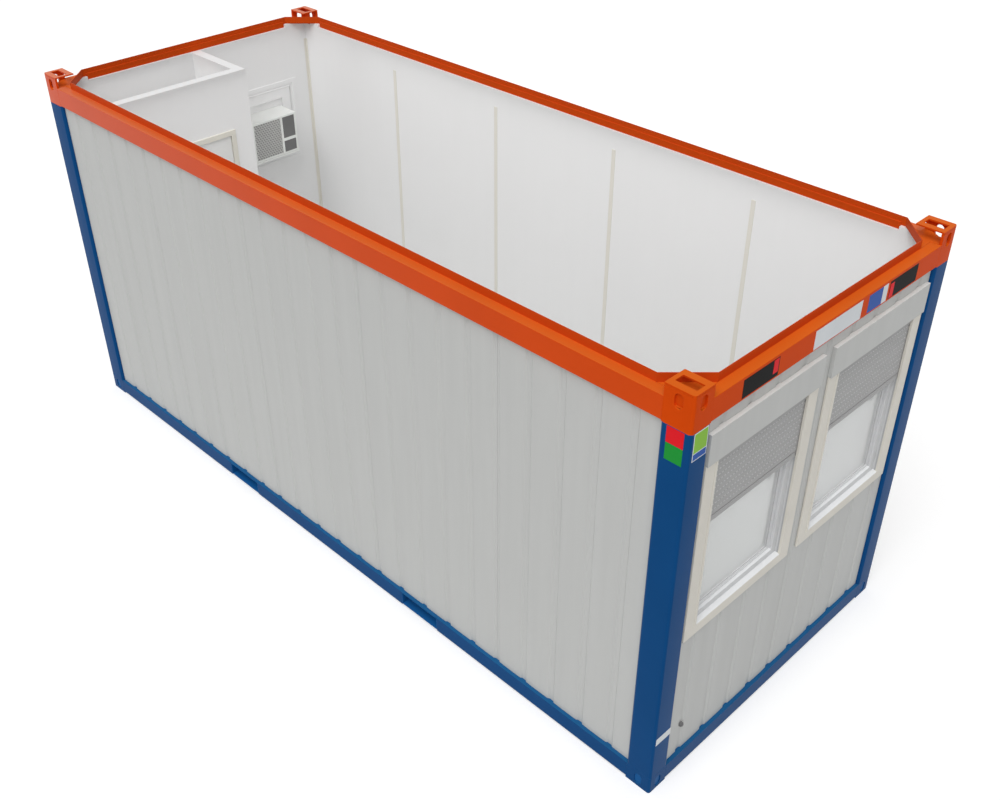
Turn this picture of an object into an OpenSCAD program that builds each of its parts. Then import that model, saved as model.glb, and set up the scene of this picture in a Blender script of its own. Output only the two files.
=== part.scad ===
// Portable site cabin: a steel frame on four corner posts, insulated wall panels,
// two shuttered windows in one end, a small lobby with an inner door in the other.
// Frame: origin under the middle of the cabin, X along its length, Z up.
// The front wall faces -Y and the window end faces +X.

/* [Cabin] */
// Length over the corner fittings
cabin_length = 6055; // [5000:5:7300]
// Width over the corner fittings
cabin_width = 2435; // [2300:5:3000]
// Height from the lowest to the highest corner plate
cabin_height = 2815; // [2700:5:3400]

/* [Corner fittings] */
// Size of a fitting along the cabin
fitting_x = 176; // [160:1:200]
// Size of a fitting across the cabin
fitting_y = 151; // [145:1:180]
// Thickness of a fitting's upright sides
fitting_side = 16; // [8:1:20]
// Thickness of the top and bottom plates
fitting_plate = 10; // [6:1:14]
// Length of the slot in a plate
plate_slot_x = 124; // [100:1:130]
// Width of the slot in a plate
plate_slot_y = 63; // [50:1:66]
// Width of the oblong hole in a side
side_hole_w = 51; // [35:1:56]
// Height of the oblong hole in a side
side_hole_h = 84; // [60:1:89]

/* [Posts] */
// Width of a post's face on the long side
post_x = 180; // [178:1:200]
// Width of a post's face on the short side
post_y = 158; // [154:1:180]
// Plate thickness of a post
post_plate = 4; // [3:0.5:6]
// Radius of the outer corner of a post
post_corner_r = 16; // [8:1:20]

/* [Top rails] */
// Height of a top rail's outer face
top_rail_h = 134; // [110:1:150]
// Drop from the top plates to a top rail
top_rail_drop = 78; // [70:1:95]
// Width of a top rail's upper flange
top_flange_w = 66; // [50:1:80]
// Height of the upstand above the upper flange
upstand_h = 53; // [30:1:60]
// Plate thickness of the rails
rail_plate = 4; // [3:0.5:6]
// Distance of the upstand's diagonal from the corner, along either rail
diagonal_start = 270; // [250:1:320]

/* [Bottom rails] */
// Height of the bottom rails' upper face above the ground
rail_top = 128; // [122:1:160]
// Gap under the bottom rails
rail_clearance = 14; // [8:1:18]
// Distance between the middles of the fork pockets
fork_spacing = 2050; // [1800:10:2300]
// Width of a fork pocket
fork_w = 345; // [300:5:400]
// Height of a fork pocket
fork_h = 95; // [85:1:100]

/* [Walls and floor] */
// Step from the outer faces of the frame back to the wall panels
wall_inset = 24; // [18:1:30]
// Thickness of the wall panels
wall_t = 68; // [50:1:80]
// Thickness of the floor deck
floor_t = 50; // [30:1:60]
// Thickness of the lobby's partitions
partition_t = 78; // [60:1:90]
// Clear depth of the lobby along the cabin
lobby_x = 555; // [500:5:900]
// Clear width of the lobby across the cabin
lobby_y = 1120; // [1080:5:1300]

/* [Windows] */
// Width of a window's outer casing
window_w = 994; // [900:2:1040]
// Height of a window casing's lower edge above the ground
window_low = 1113; // [900:1:1300]
// Width of the casing's face at the sides
casing_w = 95; // [70:1:110]
// Height of the casing's face at the sill
sill_h = 68; // [50:1:90]
// Height of a shutter box's lower edge above the ground
shutter_box_low = 2317; // [2250:1:2400]
// Height of a shutter box
shutter_box_h = 191; // [150:1:200]
// Height above the ground to which the shutters are lowered
shutter_low = 1892; // [1500:1:2200]

/* [Doors] */
// Clear width of the inner doorway
inner_door_w = 760; // [700:5:820]
// Height of the doorways' heads above the ground
door_head = 2222; // [2000:1:2300]
// Face width of the door frames
door_face_w = 40; // [30:1:60]
// Thickness of the door leaves
leaf_t = 40; // [30:1:50]
// Clear width of the entrance
entrance_w = 800; // [700:5:860]

/* [Air conditioner] */
// Width of the air conditioner's case
aircon_w = 460; // [400:5:500]
// Height of the case
aircon_h = 367; // [340:1:400]
// Length of the case through the wall
aircon_l = 290; // [275:1:295]
// Height of the case's underside above the ground
aircon_low = 1690; // [1650:1:1750]
// Reach of the case into the room
aircon_reach = 205; // [150:5:220]

/* [Hidden] */
$fn = 48;
half_l = cabin_length / 2;
half_w = cabin_width / 2;

// Heights
fitting_below_rail = 6;
wall_head_drop = 29;
top_rail_z = cabin_height - top_rail_drop;
top_rail_low = top_rail_z - top_rail_h;
top_fitting_low = top_rail_low - fitting_below_rail;
wall_top = top_rail_z - wall_head_drop;
floor_z = rail_top + floor_t;

// Wall planes, measured inwards from the outer faces of the frame
wall_in = wall_inset + wall_t;
room_x = half_l - wall_in;
room_y = half_w - wall_in;

// Ends of the wall panels, measured from the outer faces of the posts. The long walls
// end at the short walls' inner faces, and the short walls lap the long walls' ends.
wall_corner_lap = 40;
long_wall_end = wall_in;
short_wall_end = wall_in - wall_corner_lap;

// Post edges are rounded back almost to the wall panels
post_step = 2;

// Top rail section
upstand_t = 4;
band_t = 8;
band_low = wall_top;
band_h = 46;
band_start = diagonal_start + 25;

// Fittings
top_hole_drop = 17;

// Bottom rails and underfloor
bottom_hole_z = 59;
bottom_flange_w = 60;
rail_web_top_w = wall_in + 3;
joist_w = 50;
joist_h = 90;
joist_margin = 110;
first_joist = 250;
tunnel_plate = 4;
tunnel_low = rail_top - rail_plate - 2 * tunnel_plate - fork_h;

// Lobby and inner door
lobby_wall_x = -room_x + lobby_x;
lobby_wall_y = -room_y + lobby_y;
door_split_lap = 5.5;
door_split_y = lobby_wall_y + door_split_lap;
inner_door_margin = 90;
inner_door_y = lobby_wall_y - inner_door_margin - door_face_w - inner_door_w / 2;
frame_lap = 12;
leaf_gap = 6;
leaf_lift = 8;
door_stop = 12;
stop_gap = 5;
hinge_r = 9;
hinge_pin_r = 4;
hinge_pin_gap = 0.3;
hinge_gap = 1;
hinge_h = 45;
hinge_flap_w = 45;
hinge_pin_h = 2 * hinge_h - 5;
hinge_z = [350, 1150, 1850];
hinge_off = 5;
hinge_x = -inner_door_w / 2 - hinge_off;
hinge_y = -frame_lap - hinge_gap - hinge_r;
handle_plate_w = 36;
handle_plate_h = 180;
handle_plate_t = 6;
lever_r = 9;
lever_reach = 42;
lever_grip = 115;
knob_r = 22;
knob_reach = 20;
handle_z = floor_z + 1050;
handle_edge = 72;

// Cut in the cross wall for the inner door frame
inner_cut_low = inner_door_y - inner_door_w / 2 - door_face_w / 2;
inner_cut_high = inner_door_y + inner_door_w / 2 + door_face_w / 2;
inner_cut_top = door_head + door_face_w / 2;

// Entrance in the door end
entrance_gap = 4;
entrance_y = -half_w + post_y + entrance_gap + door_face_w + entrance_w / 2;

// Windows
window_y = 545;
casing_proud = 14;
hole_lap = 50;
window_hole_w = window_w - 2 * hole_lap;
hole_lap_low = 45;
window_hole_low = window_low + hole_lap_low;
box_in_wall_h = shutter_box_h - 30;
shutter_skin = 3;
slot_gap = 2;
curtain_in_box = 60;
window_hole_top = shutter_box_low + box_in_wall_h;
liner_t = 12;
sash_w = 55;
sash_t = 40;
sash_proud = 8;
glass_t = 20;
curtain_t = 10;
sash_x = room_x - sash_proud;
curtain_x = half_l - wall_inset - curtain_t;
curtain_guide = 15;

// Air conditioner and its surround
aircon_margin = 264;
aircon_y = lobby_wall_y + partition_t + aircon_margin + aircon_w / 2;
surround_face_w = 36;
surround_proud = 12;
surround_w = 804;
surround_low = 1538;
surround_top = 2267;
surround_back_t = 4;
infill_margin = 30;
infill_step_low = 24;
infill_step_top = 20;
infill_proud = 8;
recess_depth = 10;
recess_gap_y = 15;
recess_gap_low = 12;
recess_gap_top = 67;

// Trim
panel_w = 1165;
strip_w = 32;
strip_t = 4;
strip_top_drop = 133;
strip_top = wall_top - strip_top_drop;
angle_leg = 38;

// ---------------------------------------------------------------- helpers

// A box from its lowest to its highest corner.
module block(low, high) {
    translate(low) cube(high - low);
}

// Moves a corner piece to one corner. Its own X and Y point inwards from there.
module at_corner(side_x, side_y) {
    translate([side_x * half_l, side_y * half_w, 0])
        mirror([side_x > 0 ? 1 : 0, 0, 0])
            mirror([0, side_y > 0 ? 1 : 0, 0])
                children();
}

// Repeats a corner piece at the front and back corners of one end.
module at_end_corners(side_x) {
    for (side_y = [-1, 1]) at_corner(side_x, side_y) children();
}

// Repeats a corner piece at all four corners.
module at_all_corners() {
    for (side_x = [-1, 1]) at_end_corners(side_x) children();
}

// An upright oblong hole through a side: width along X, centred, bored along Y.
module oblong(w, h, depth) {
    rotate([90, 0, 0]) translate([0, 0, -depth / 2]) {
        translate([-w / 2, -(h - w) / 2, 0]) cube([w, h - w, depth]);
        for (end = [-1, 1]) translate([0, end * (h - w) / 2, 0]) cylinder(d = w, h = depth);
    }
}

// Extrudes a section along X between two places. The section's X is the distance
// inwards from the long side, and its Y is the height.
module along_x(from, to) {
    translate([from, 0, 0]) rotate([90, 0, 90]) linear_extrude(to - from) children();
}

// ---------------------------------------------------------------- frame

// Plan of a post: an outer corner, a flange over each wall's end, and a core between.
module post_plan(in) {
    r = post_corner_r;
    edge = wall_inset - post_step;
    difference() {
        union() {
            translate([r, r]) circle(r = r - in);
            translate([r, in]) square([long_wall_end - r - in, short_wall_end - 2 * in]);
            translate([in, r]) square([long_wall_end - 2 * in, short_wall_end - r - in]);
            translate([r, in]) square([post_x - edge - r, wall_inset - 2 * in]);
            translate([in, r]) square([wall_inset - 2 * in, post_y - edge - r]);
            translate([post_x - edge, edge]) circle(r = edge - in);
            translate([edge, post_y - edge]) circle(r = edge - in);
        }
        translate([long_wall_end, wall_inset - in]) square([2 * post_x, 2 * post_y]);
        translate([wall_inset - in, short_wall_end]) square([2 * post_x, 2 * post_y]);
    }
}

module corner_post(side_x, side_y) {
    color("#1b487a") at_corner(side_x, side_y)
        translate([0, 0, rail_top])
            linear_extrude(top_fitting_low - rail_top)
                difference() {
                    post_plan(0);
                    post_plan(post_plate);
                }
}

// Plan of a fitting, with its outer corner rounded like the post's.
module fitting_plan() {
    r = post_corner_r;
    translate([r, r]) circle(r = r);
    translate([r, 0]) square([fitting_x - r, fitting_y]);
    translate([0, r]) square([r, fitting_y - r]);
}

// The two upright outer sides of a fitting, with their oblong holes.
module fitting_sides(low, high, hole_z) {
    difference() {
        translate([0, 0, low]) linear_extrude(high - low) fitting_plan();
        block([fitting_side, fitting_side, low - 1], [fitting_x + 1, fitting_y + 1, high + 1]);
        translate([fitting_x / 2, fitting_side / 2, hole_z])
            oblong(side_hole_w, side_hole_h, 2 * fitting_side);
        translate([fitting_side / 2, fitting_y / 2, hole_z])
            rotate([0, 0, 90]) oblong(side_hole_w, side_hole_h, 2 * fitting_side);
    }
}

// A horizontal plate of a fitting with its slot.
module fitting_plate_at(z) {
    translate([0, 0, z]) difference() {
        linear_extrude(fitting_plate) fitting_plan();
        translate([(fitting_x - plate_slot_x) / 2, (fitting_y - plate_slot_y) / 2, -1])
            cube([plate_slot_x, plate_slot_y, fitting_plate + 2]);
    }
}

module top_fittings(side_x) {
    plate_z = cabin_height - fitting_plate;
    color("#cb4814") at_end_corners(side_x) {
        fitting_plate_at(plate_z);
        fitting_sides(top_fitting_low, plate_z, plate_z - top_hole_drop - side_hole_h / 2);
        translate([0, 0, top_fitting_low]) linear_extrude(fitting_plate) intersection() {
            fitting_plan();
            post_plan(0);
        }
    }
}

module bottom_corner_fittings() {
    color("#1b487a") at_all_corners() {
        fitting_plate_at(0);
        fitting_sides(fitting_plate, rail_top, bottom_hole_z);
        translate([0, 0, rail_top - fitting_plate])
            linear_extrude(fitting_plate) fitting_plan();
    }
}

// Plate that carries the upper flange round inside a fitting, with a diagonal upstand.
module roof_corner_gussets() {
    line = diagonal_start + top_flange_w;
    strip = top_flange_w * sqrt(2);
    miter = upstand_t * sqrt(2);
    color("#cb4814") at_all_corners() {
        translate([0, 0, top_rail_z - rail_plate]) linear_extrude(rail_plate)
            polygon([
                [fitting_x, top_flange_w], [diagonal_start, top_flange_w],
                [top_flange_w, diagonal_start], [top_flange_w, fitting_y],
                [line - strip - fitting_y, fitting_y], [fitting_x, line - strip - fitting_x]
            ]);
        translate([0, 0, top_rail_z]) linear_extrude(upstand_h)
            polygon([
                [diagonal_start, top_flange_w], [diagonal_start, top_flange_w + upstand_t],
                [top_flange_w + upstand_t, diagonal_start], [top_flange_w, diagonal_start],
                [top_flange_w, diagonal_start - miter + upstand_t],
                [diagonal_start - miter + upstand_t, top_flange_w]
            ]);
    }
}

// Section of a top rail: outer web, lower lip and upper flange.
module top_rail_section() {
    translate([0, top_rail_low]) square([rail_plate, top_rail_h]);
    translate([0, top_rail_low]) square([wall_inset, rail_plate]);
    translate([0, top_rail_z - rail_plate]) square([top_flange_w, rail_plate]);
}

// Section of the upstand along the inner edge of the upper flange.
module upstand_section() {
    translate([top_flange_w, top_rail_z - rail_plate])
        square([upstand_t, upstand_h + rail_plate]);
}

// Section of the inner band that closes the rail onto the wall's head.
module band_section() {
    translate([top_flange_w + upstand_t, band_low]) square([band_t, band_h]);
}

// A top rail along X, its outer face on the plane Y = 0, facing -Y.
module top_rail(length, end_gap) {
    along_x(-length / 2 + end_gap, length / 2 - end_gap) top_rail_section();
    along_x(-length / 2 + diagonal_start, length / 2 - diagonal_start) upstand_section();
    along_x(-length / 2 + band_start, length / 2 - band_start) band_section();
}

module long_top_rail(side_y) {
    color("#cb4814") mirror([0, side_y > 0 ? 1 : 0, 0])
        translate([0, -half_w, 0]) top_rail(cabin_length, fitting_x);
}

module short_top_rail(side_x) {
    color("#bc421e") mirror([side_x > 0 ? 1 : 0, 0, 0])
        translate([-half_l, 0, 0]) rotate([0, 0, -90]) top_rail(cabin_width, fitting_y);
}

// Section of a bottom rail: a channel open towards the inside.
module bottom_rail_section() {
    translate([0, rail_clearance]) square([rail_plate, rail_top - rail_clearance]);
    translate([0, rail_top - rail_plate]) square([rail_web_top_w, rail_plate]);
    translate([0, rail_clearance]) square([bottom_flange_w, rail_plate]);
}

module long_bottom_rail(side_y) {
    color("#1b487a") mirror([0, side_y > 0 ? 1 : 0, 0]) translate([0, -half_w, 0])
        difference() {
            along_x(-half_l + fitting_x, half_l - fitting_x) bottom_rail_section();
            for (side = [-1, 1])
                translate([side * fork_spacing / 2 - fork_w / 2 - tunnel_plate, -1, 0])
                    cube([fork_w + 2 * tunnel_plate, bottom_flange_w + 2,
                          tunnel_low + fork_h + 2 * tunnel_plate]);
        }
}

module short_bottom_rail(side_x) {
    color("#2a4971") mirror([side_x > 0 ? 1 : 0, 0, 0]) translate([-half_l, 0, 0])
        rotate([0, 0, -90])
            along_x(-half_w + fitting_y, half_w - fitting_y) bottom_rail_section();
}

// Two rectangular tubes that run through under the floor for a forklift's forks.
module fork_tunnels() {
    color("#1b487a") for (side = [-1, 1])
        translate([side * fork_spacing / 2, 0, tunnel_low]) difference() {
            translate([-fork_w / 2 - tunnel_plate, -half_w, 0])
                cube([fork_w + 2 * tunnel_plate, cabin_width, fork_h + 2 * tunnel_plate]);
            translate([-fork_w / 2, -half_w - 1, tunnel_plate])
                cube([fork_w, cabin_width + 2, fork_h]);
        }
}

// Places of the joists: even bays outside and between the fork tunnels.
function joist_places() =
    let (
        first = room_x - first_joist,
        outer = fork_spacing / 2 + fork_w / 2 + joist_margin,
        inner = fork_spacing / 2 - fork_w / 2 - joist_margin
    ) [for (side = [-1, 1]) for (x = [first, (first + outer) / 2, outer, inner]) side * x];

module floor_joists() {
    low = rail_top - joist_h;
    color("#3a4048") for (x = concat(joist_places(), [0]))
        block([x - joist_w / 2, -half_w + rail_web_top_w, low],
              [x + joist_w / 2, half_w - rail_web_top_w, rail_top]);
}

module floor_deck() {
    color("#c4c4c0") block([-room_x, -room_y, rail_top], [room_x, room_y, floor_z]);
}

// ---------------------------------------------------------------- walls

module long_wall(side_y) {
    color("#b8bab7") mirror([0, side_y > 0 ? 1 : 0, 0])
        block([-half_l + long_wall_end, -half_w + wall_inset, rail_top],
              [half_l - long_wall_end, -half_w + wall_in, wall_top]);
}

// One part of an end wall, from its joint with the other part to its post.
module short_wall_part(side_x, side_y, joint_y) {
    mirror([side_x < 0 ? 1 : 0, 0, 0]) mirror([0, side_y < 0 ? 1 : 0, 0])
        block([room_x, side_y * joint_y, rail_top],
              [half_l - wall_inset, half_w - short_wall_end, wall_top]);
}

module window_wall(side_y) {
    color("#aaaca8") difference() {
        short_wall_part(1, side_y, 0);
        block([room_x - 1, side_y * window_y - window_hole_w / 2, window_hole_low],
              [half_l, side_y * window_y + window_hole_w / 2, window_hole_top]);
    }
}

module door_wall_front() {
    color("#aaaca8") difference() {
        short_wall_part(-1, -1, door_split_y);
        block([-half_l, entrance_y - entrance_w / 2 - door_face_w / 2, rail_top - 1],
              [-room_x + 1, entrance_y + entrance_w / 2 + door_face_w / 2,
               door_head + door_face_w / 2]);
    }
}

module door_wall_back() {
    color("#aaaca8") difference() {
        short_wall_part(-1, 1, door_split_y);
        block([-half_l, aircon_y - surround_w / 2 + surround_face_w / 2,
               surround_low + surround_face_w / 2],
              [-room_x + 1, aircon_y + surround_w / 2 - surround_face_w / 2,
               surround_top - surround_face_w / 2]);
    }
}

// ---------------------------------------------------------------- windows

// Casing outside, liner through the wall and a sash frame near the inside.
module window_frame(side_y) {
    outer = half_l - wall_inset;
    clear_w = window_w - 2 * casing_w;
    color("#e6e2d8") translate([0, side_y * window_y, 0]) difference() {
        union() {
            block([outer, -window_w / 2, window_low],
                  [outer + casing_proud, window_w / 2, shutter_box_low]);
            block([room_x - sash_proud, -window_hole_w / 2, window_hole_low],
                  [outer, window_hole_w / 2, shutter_box_low]);
        }
        // clear opening between the casing and the shutter curtain's front
        block([curtain_x - 1, -clear_w / 2, window_low + sill_h],
              [outer + casing_proud + 1, clear_w / 2, shutter_box_low + 1]);
        // guides of the shutter curtain
        block([curtain_x, -clear_w / 2 - curtain_guide, window_low + sill_h],
              [outer, clear_w / 2 + curtain_guide, shutter_box_low + 1]);
        // inside of the liner, between the sash and the curtain
        block([sash_x + sash_t, -clear_w / 2, window_low + sill_h],
              [curtain_x, clear_w / 2, shutter_box_low - liner_t]);
        // opening of the sash
        block([sash_x - 1, -clear_w / 2 + sash_w, window_low + sill_h + sash_w],
              [sash_x + sash_t + 1, clear_w / 2 - sash_w, shutter_box_low - liner_t - sash_w]);
    }
}

module window_panes() {
    clear_w = window_w - 2 * casing_w;
    mid = sash_x + sash_t / 2;
    color("#9fb4bd", 0.4) for (side_y = [-1, 1]) translate([0, side_y * window_y, 0])
        block([mid - glass_t / 2, -clear_w / 2 + sash_w, window_low + sill_h + sash_w],
              [mid + glass_t / 2, clear_w / 2 - sash_w, shutter_box_low - liner_t - sash_w]);
}

// Shutter box: a cover on the wall's face and a hollow body in the wall.
module shutter_box(side_y) {
    outer = half_l - wall_inset;
    skin = shutter_skin;
    half = window_w / 2 - casing_w + curtain_guide;
    color("#aaaca8") translate([0, side_y * window_y, 0]) difference() {
        union() {
            block([outer, -window_w / 2, shutter_box_low],
                  [half_l, window_w / 2, shutter_box_low + shutter_box_h]);
            block([room_x, -window_hole_w / 2, shutter_box_low],
                  [outer, window_hole_w / 2, shutter_box_low + box_in_wall_h]);
        }
        block([room_x + skin, -window_hole_w / 2 + skin, shutter_box_low + skin],
              [half_l - skin, window_hole_w / 2 - skin, shutter_box_low + box_in_wall_h - skin]);
        block([curtain_x - slot_gap, -half - slot_gap, shutter_box_low - 1],
              [curtain_x + curtain_t + slot_gap, half + slot_gap, shutter_box_low + skin + 1]);
    }
}

module shutter_curtains() {
    half = window_w / 2 - casing_w + curtain_guide;
    color("#969696") for (side_y = [-1, 1]) translate([0, side_y * window_y, 0])
        block([curtain_x, -half, shutter_low],
              [curtain_x + curtain_t, half, shutter_box_low + curtain_in_box]);
}

// ---------------------------------------------------------------- entrance

// A door frame in a wall: faces lap the wall on both sides, with a rebate for the leaf.
// Its own X runs across the doorway and its own Y through the wall; the leaf shuts
// against the frame from -Y.
module door_frame(clear_w, head, sill, wall, stop_gap) {
    outer = clear_w / 2 + door_face_w;
    half = clear_w / 2 + door_face_w / 2;
    difference() {
        union() {
            block([-outer, -frame_lap, sill], [outer, 0, head + door_face_w]);
            block([-half, 0, sill], [half, wall, head + door_face_w / 2]);
            block([-outer, wall, sill], [outer, wall + frame_lap, head + door_face_w]);
        }
        block([-clear_w / 2, -frame_lap - 1, sill - 1], [clear_w / 2, leaf_t + stop_gap, head]);
        block([-clear_w / 2 + door_stop, -frame_lap - 1, sill - 1],
              [clear_w / 2 - door_stop, wall + frame_lap + 1, head - door_stop]);
    }
}

// A handle's backing plate on the plane Y = 0, with its front towards -Y.
module handle_plate() {
    translate([-handle_plate_w / 2, -handle_plate_t, -handle_plate_h / 2])
        cube([handle_plate_w, handle_plate_t, handle_plate_h]);
}

// A lever handle that stands out along -Y and points along -X.
module lever_handle() {
    handle_plate();
    rotate([90, 0, 0]) cylinder(r = lever_r, h = lever_reach + lever_r);
    translate([0, -lever_reach, 0]) rotate([0, -90, 0]) cylinder(r = lever_r, h = lever_grip);
}

// A low round knob, for a door that has to stay inside the cabin's outline.
module flat_knob() {
    handle_plate();
    rotate([90, 0, 0]) cylinder(r = knob_r, h = knob_reach);
}

module place_entrance() {
    translate([-half_l + wall_inset, entrance_y, 0]) rotate([0, 0, -90]) children();
}

module entrance_frame() {
    color("#d5d2c8") place_entrance()
        door_frame(entrance_w, door_head, floor_z, wall_t, 0);
}

module entrance_leaf() {
    color("#aaaca8") place_entrance()
        block([-entrance_w / 2 + leaf_gap, 0, floor_z + leaf_lift],
              [entrance_w / 2 - leaf_gap, leaf_t, door_head - leaf_gap]);
}

module entrance_handles() {
    color("#2a2a2c") place_entrance() translate([entrance_w / 2 - handle_edge, 0, handle_z]) {
        flat_knob();
        translate([0, leaf_t, 0]) mirror([0, 1, 0]) lever_handle();
    }
}

// ---------------------------------------------------------------- lobby

module lobby_side_wall() {
    color("#e4e4e4")
        block([-room_x, lobby_wall_y, floor_z],
              [lobby_wall_x + partition_t, lobby_wall_y + partition_t, wall_top]);
}

module lobby_door_pier() {
    color("#e4e4e4")
        block([lobby_wall_x, -room_y, floor_z],
              [lobby_wall_x + partition_t, inner_cut_low, wall_top]);
}

module lobby_over_door() {
    color("#e4e4e4")
        block([lobby_wall_x, inner_cut_low, inner_cut_top],
              [lobby_wall_x + partition_t, inner_cut_high, wall_top]);
}

module lobby_corner_pier() {
    color("#e4e4e4")
        block([lobby_wall_x, inner_cut_high, floor_z],
              [lobby_wall_x + partition_t, lobby_wall_y, wall_top]);
}

// The inner door's own frame of reference: -Y points into the main room.
module place_inner_door() {
    translate([lobby_wall_x + partition_t, inner_door_y, 0]) rotate([0, 0, 90]) children();
}

module inner_door_frame() {
    color("#d5d2c8") place_inner_door() {
        door_frame(inner_door_w, door_head, floor_z, partition_t, stop_gap);
        for (z = hinge_z) translate([hinge_x, hinge_y, z]) {
            cylinder(r = hinge_r, h = hinge_h);
            block([-hinge_r / 2, 0, 0], [hinge_r / 2, hinge_r + hinge_gap, hinge_h]);
            cylinder(r = hinge_pin_r, h = hinge_pin_h);
        }
    }
}

// Upper half of a lift-off hinge: a sleeve over the frame's pin and a cranked strap
// that passes in front of the frame to the leaf.
module leaf_hinge() {
    edge = -inner_door_w / 2 + leaf_gap;
    front = hinge_y - hinge_r + 2;
    difference() {
        union() {
            translate([hinge_x, hinge_y, 0]) cylinder(r = hinge_r, h = hinge_h);
            block([hinge_x, front, 0], [edge + 1, -frame_lap - stop_gap, hinge_h]);
            block([edge, front, 0], [edge + hinge_flap_w, 0, hinge_h]);
        }
        translate([hinge_x, hinge_y, -1])
            cylinder(r = hinge_pin_r + hinge_pin_gap, h = hinge_h + 2);
        translate([hinge_x, -frame_lap - stop_gap, -1])
            cube([edge - hinge_x, 2 * hinge_r, hinge_h + 2]);
    }
}

module inner_door_leaf() {
    color("#e8e8e6") place_inner_door() {
        block([-inner_door_w / 2 + leaf_gap, 0, floor_z + leaf_lift],
              [inner_door_w / 2 - leaf_gap, leaf_t, door_head - leaf_gap]);
        for (z = hinge_z) translate([0, 0, z + hinge_h + hinge_pin_gap]) leaf_hinge();
    }
}

module inner_door_handles() {
    color("#2a2a2c") place_inner_door() translate([inner_door_w / 2 - handle_edge, 0, handle_z]) {
        lever_handle();
        translate([0, leaf_t, 0]) mirror([0, 1, 0]) lever_handle();
    }
}

// ---------------------------------------------------------------- air conditioner

// Case that reaches through the wall, with its face in the room.
module aircon_unit() {
    face = -room_x + aircon_reach;
    color("#e9ebe8") translate([0, aircon_y, aircon_low])
        block([face - aircon_l, -aircon_w / 2, 0], [face, aircon_w / 2, aircon_h]);
}

// Casings inside and outside, and an infill panel in the wall's opening. The case
// passes through it and stands in a shallow recess on the room's side.
module aircon_surround() {
    outer = -half_l + wall_inset;
    half = surround_w / 2;
    core = half - surround_face_w / 2;
    raised = half - surround_face_w - infill_margin;
    color("#e4e4e4") translate([0, aircon_y, 0]) difference() {
        union() {
            block([outer - surround_back_t, -half, surround_low], [outer, half, surround_top]);
            block([outer, -core, surround_low + surround_face_w / 2],
                  [-room_x, core, surround_top - surround_face_w / 2]);
            difference() {
                block([-room_x, -half, surround_low],
                      [-room_x + surround_proud, half, surround_top]);
                block([-room_x, -half + surround_face_w, surround_low + surround_face_w],
                      [0, half - surround_face_w, surround_top - surround_face_w]);
            }
            block([-room_x, -raised, surround_low + surround_face_w + infill_step_low],
                  [-room_x + infill_proud, raised,
                   surround_top - surround_face_w - infill_step_top]);
        }
        block([-half_l, -aircon_w / 2, aircon_low], [0, aircon_w / 2, aircon_low + aircon_h]);
        block([-room_x - recess_depth, -aircon_w / 2 - recess_gap_y, aircon_low - recess_gap_low],
              [0, aircon_w / 2 + recess_gap_y, aircon_low + aircon_h + recess_gap_top]);
    }
}

// ---------------------------------------------------------------- trim

// An angle strip in an inner corner, its legs along +X and +Y from the corner.
module angle_strip(corner, side_x, side_y) {
    translate([corner[0], corner[1], floor_z])
        mirror([side_x < 0 ? 1 : 0, 0, 0]) mirror([0, side_y < 0 ? 1 : 0, 0])
            linear_extrude(strip_top - floor_z)
                polygon([
                    [0, 0], [angle_leg, 0], [angle_leg, strip_t],
                    [strip_t, strip_t], [strip_t, angle_leg], [0, angle_leg]
                ]);
}

// Cover strips on the back wall's panel joints, and angles in the rooms' corners.
module cover_strips() {
    color("#d5d2c8") {
        for (step = [-1.5, -0.5, 0.5, 1.5])
            block([step * panel_w - strip_w / 2, room_y - strip_t, floor_z],
                  [step * panel_w + strip_w / 2, room_y, strip_top]);
        angle_strip([-room_x, room_y], 1, -1);
        angle_strip([room_x, room_y], -1, -1);
        angle_strip([room_x, -room_y], -1, 1);
        angle_strip([-room_x, lobby_wall_y], 1, -1);
        angle_strip([-room_x, -room_y], 1, 1);
    }
}

corner_post(-1, -1);  // corner_post_front_left
corner_post(1, -1);  // corner_post_front_right
corner_post(-1, 1);  // corner_post_back_left
corner_post(1, 1);  // corner_post_back_right
top_fittings(-1);  // top_fittings_left
top_fittings(1);  // top_fittings_right
bottom_corner_fittings();
roof_corner_gussets();
long_top_rail(-1);  // top_rail_front
long_top_rail(1);  // top_rail_back
short_top_rail(-1);  // top_rail_left
short_top_rail(1);  // top_rail_right
long_bottom_rail(-1);  // bottom_rail_front
long_bottom_rail(1);  // bottom_rail_back
short_bottom_rail(-1);  // bottom_rail_left
short_bottom_rail(1);  // bottom_rail_right
fork_tunnels();
floor_joists();
floor_deck();
long_wall(-1);  // front_wall
long_wall(1);  // back_wall
window_wall(-1);  // window_wall_front
window_wall(1);  // window_wall_back
door_wall_front();
door_wall_back();
window_frame(-1);  // window_frame_front
window_frame(1);  // window_frame_back
window_panes();
shutter_box(-1);  // shutter_box_front
shutter_box(1);  // shutter_box_back
shutter_curtains();
entrance_frame();
entrance_leaf();
entrance_handles();
lobby_side_wall();
lobby_door_pier();
lobby_over_door();
lobby_corner_pier();
inner_door_frame();
inner_door_leaf();
inner_door_handles();
aircon_unit();
aircon_surround();
cover_strips();
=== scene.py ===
"""The look of a roofless portable site cabin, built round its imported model.

+X runs along the cabin towards its window end, -Y out of the front long wall, +Z up.
The origin lies under the middle of the cabin, on the plane it stands on.
"""

from __future__ import annotations

import logging
import math
from contextlib import contextmanager
from dataclasses import dataclass
from enum import Enum
from typing import Callable, Iterator, Sequence

import bmesh
import bpy
from mathutils import Matrix, Vector


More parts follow.
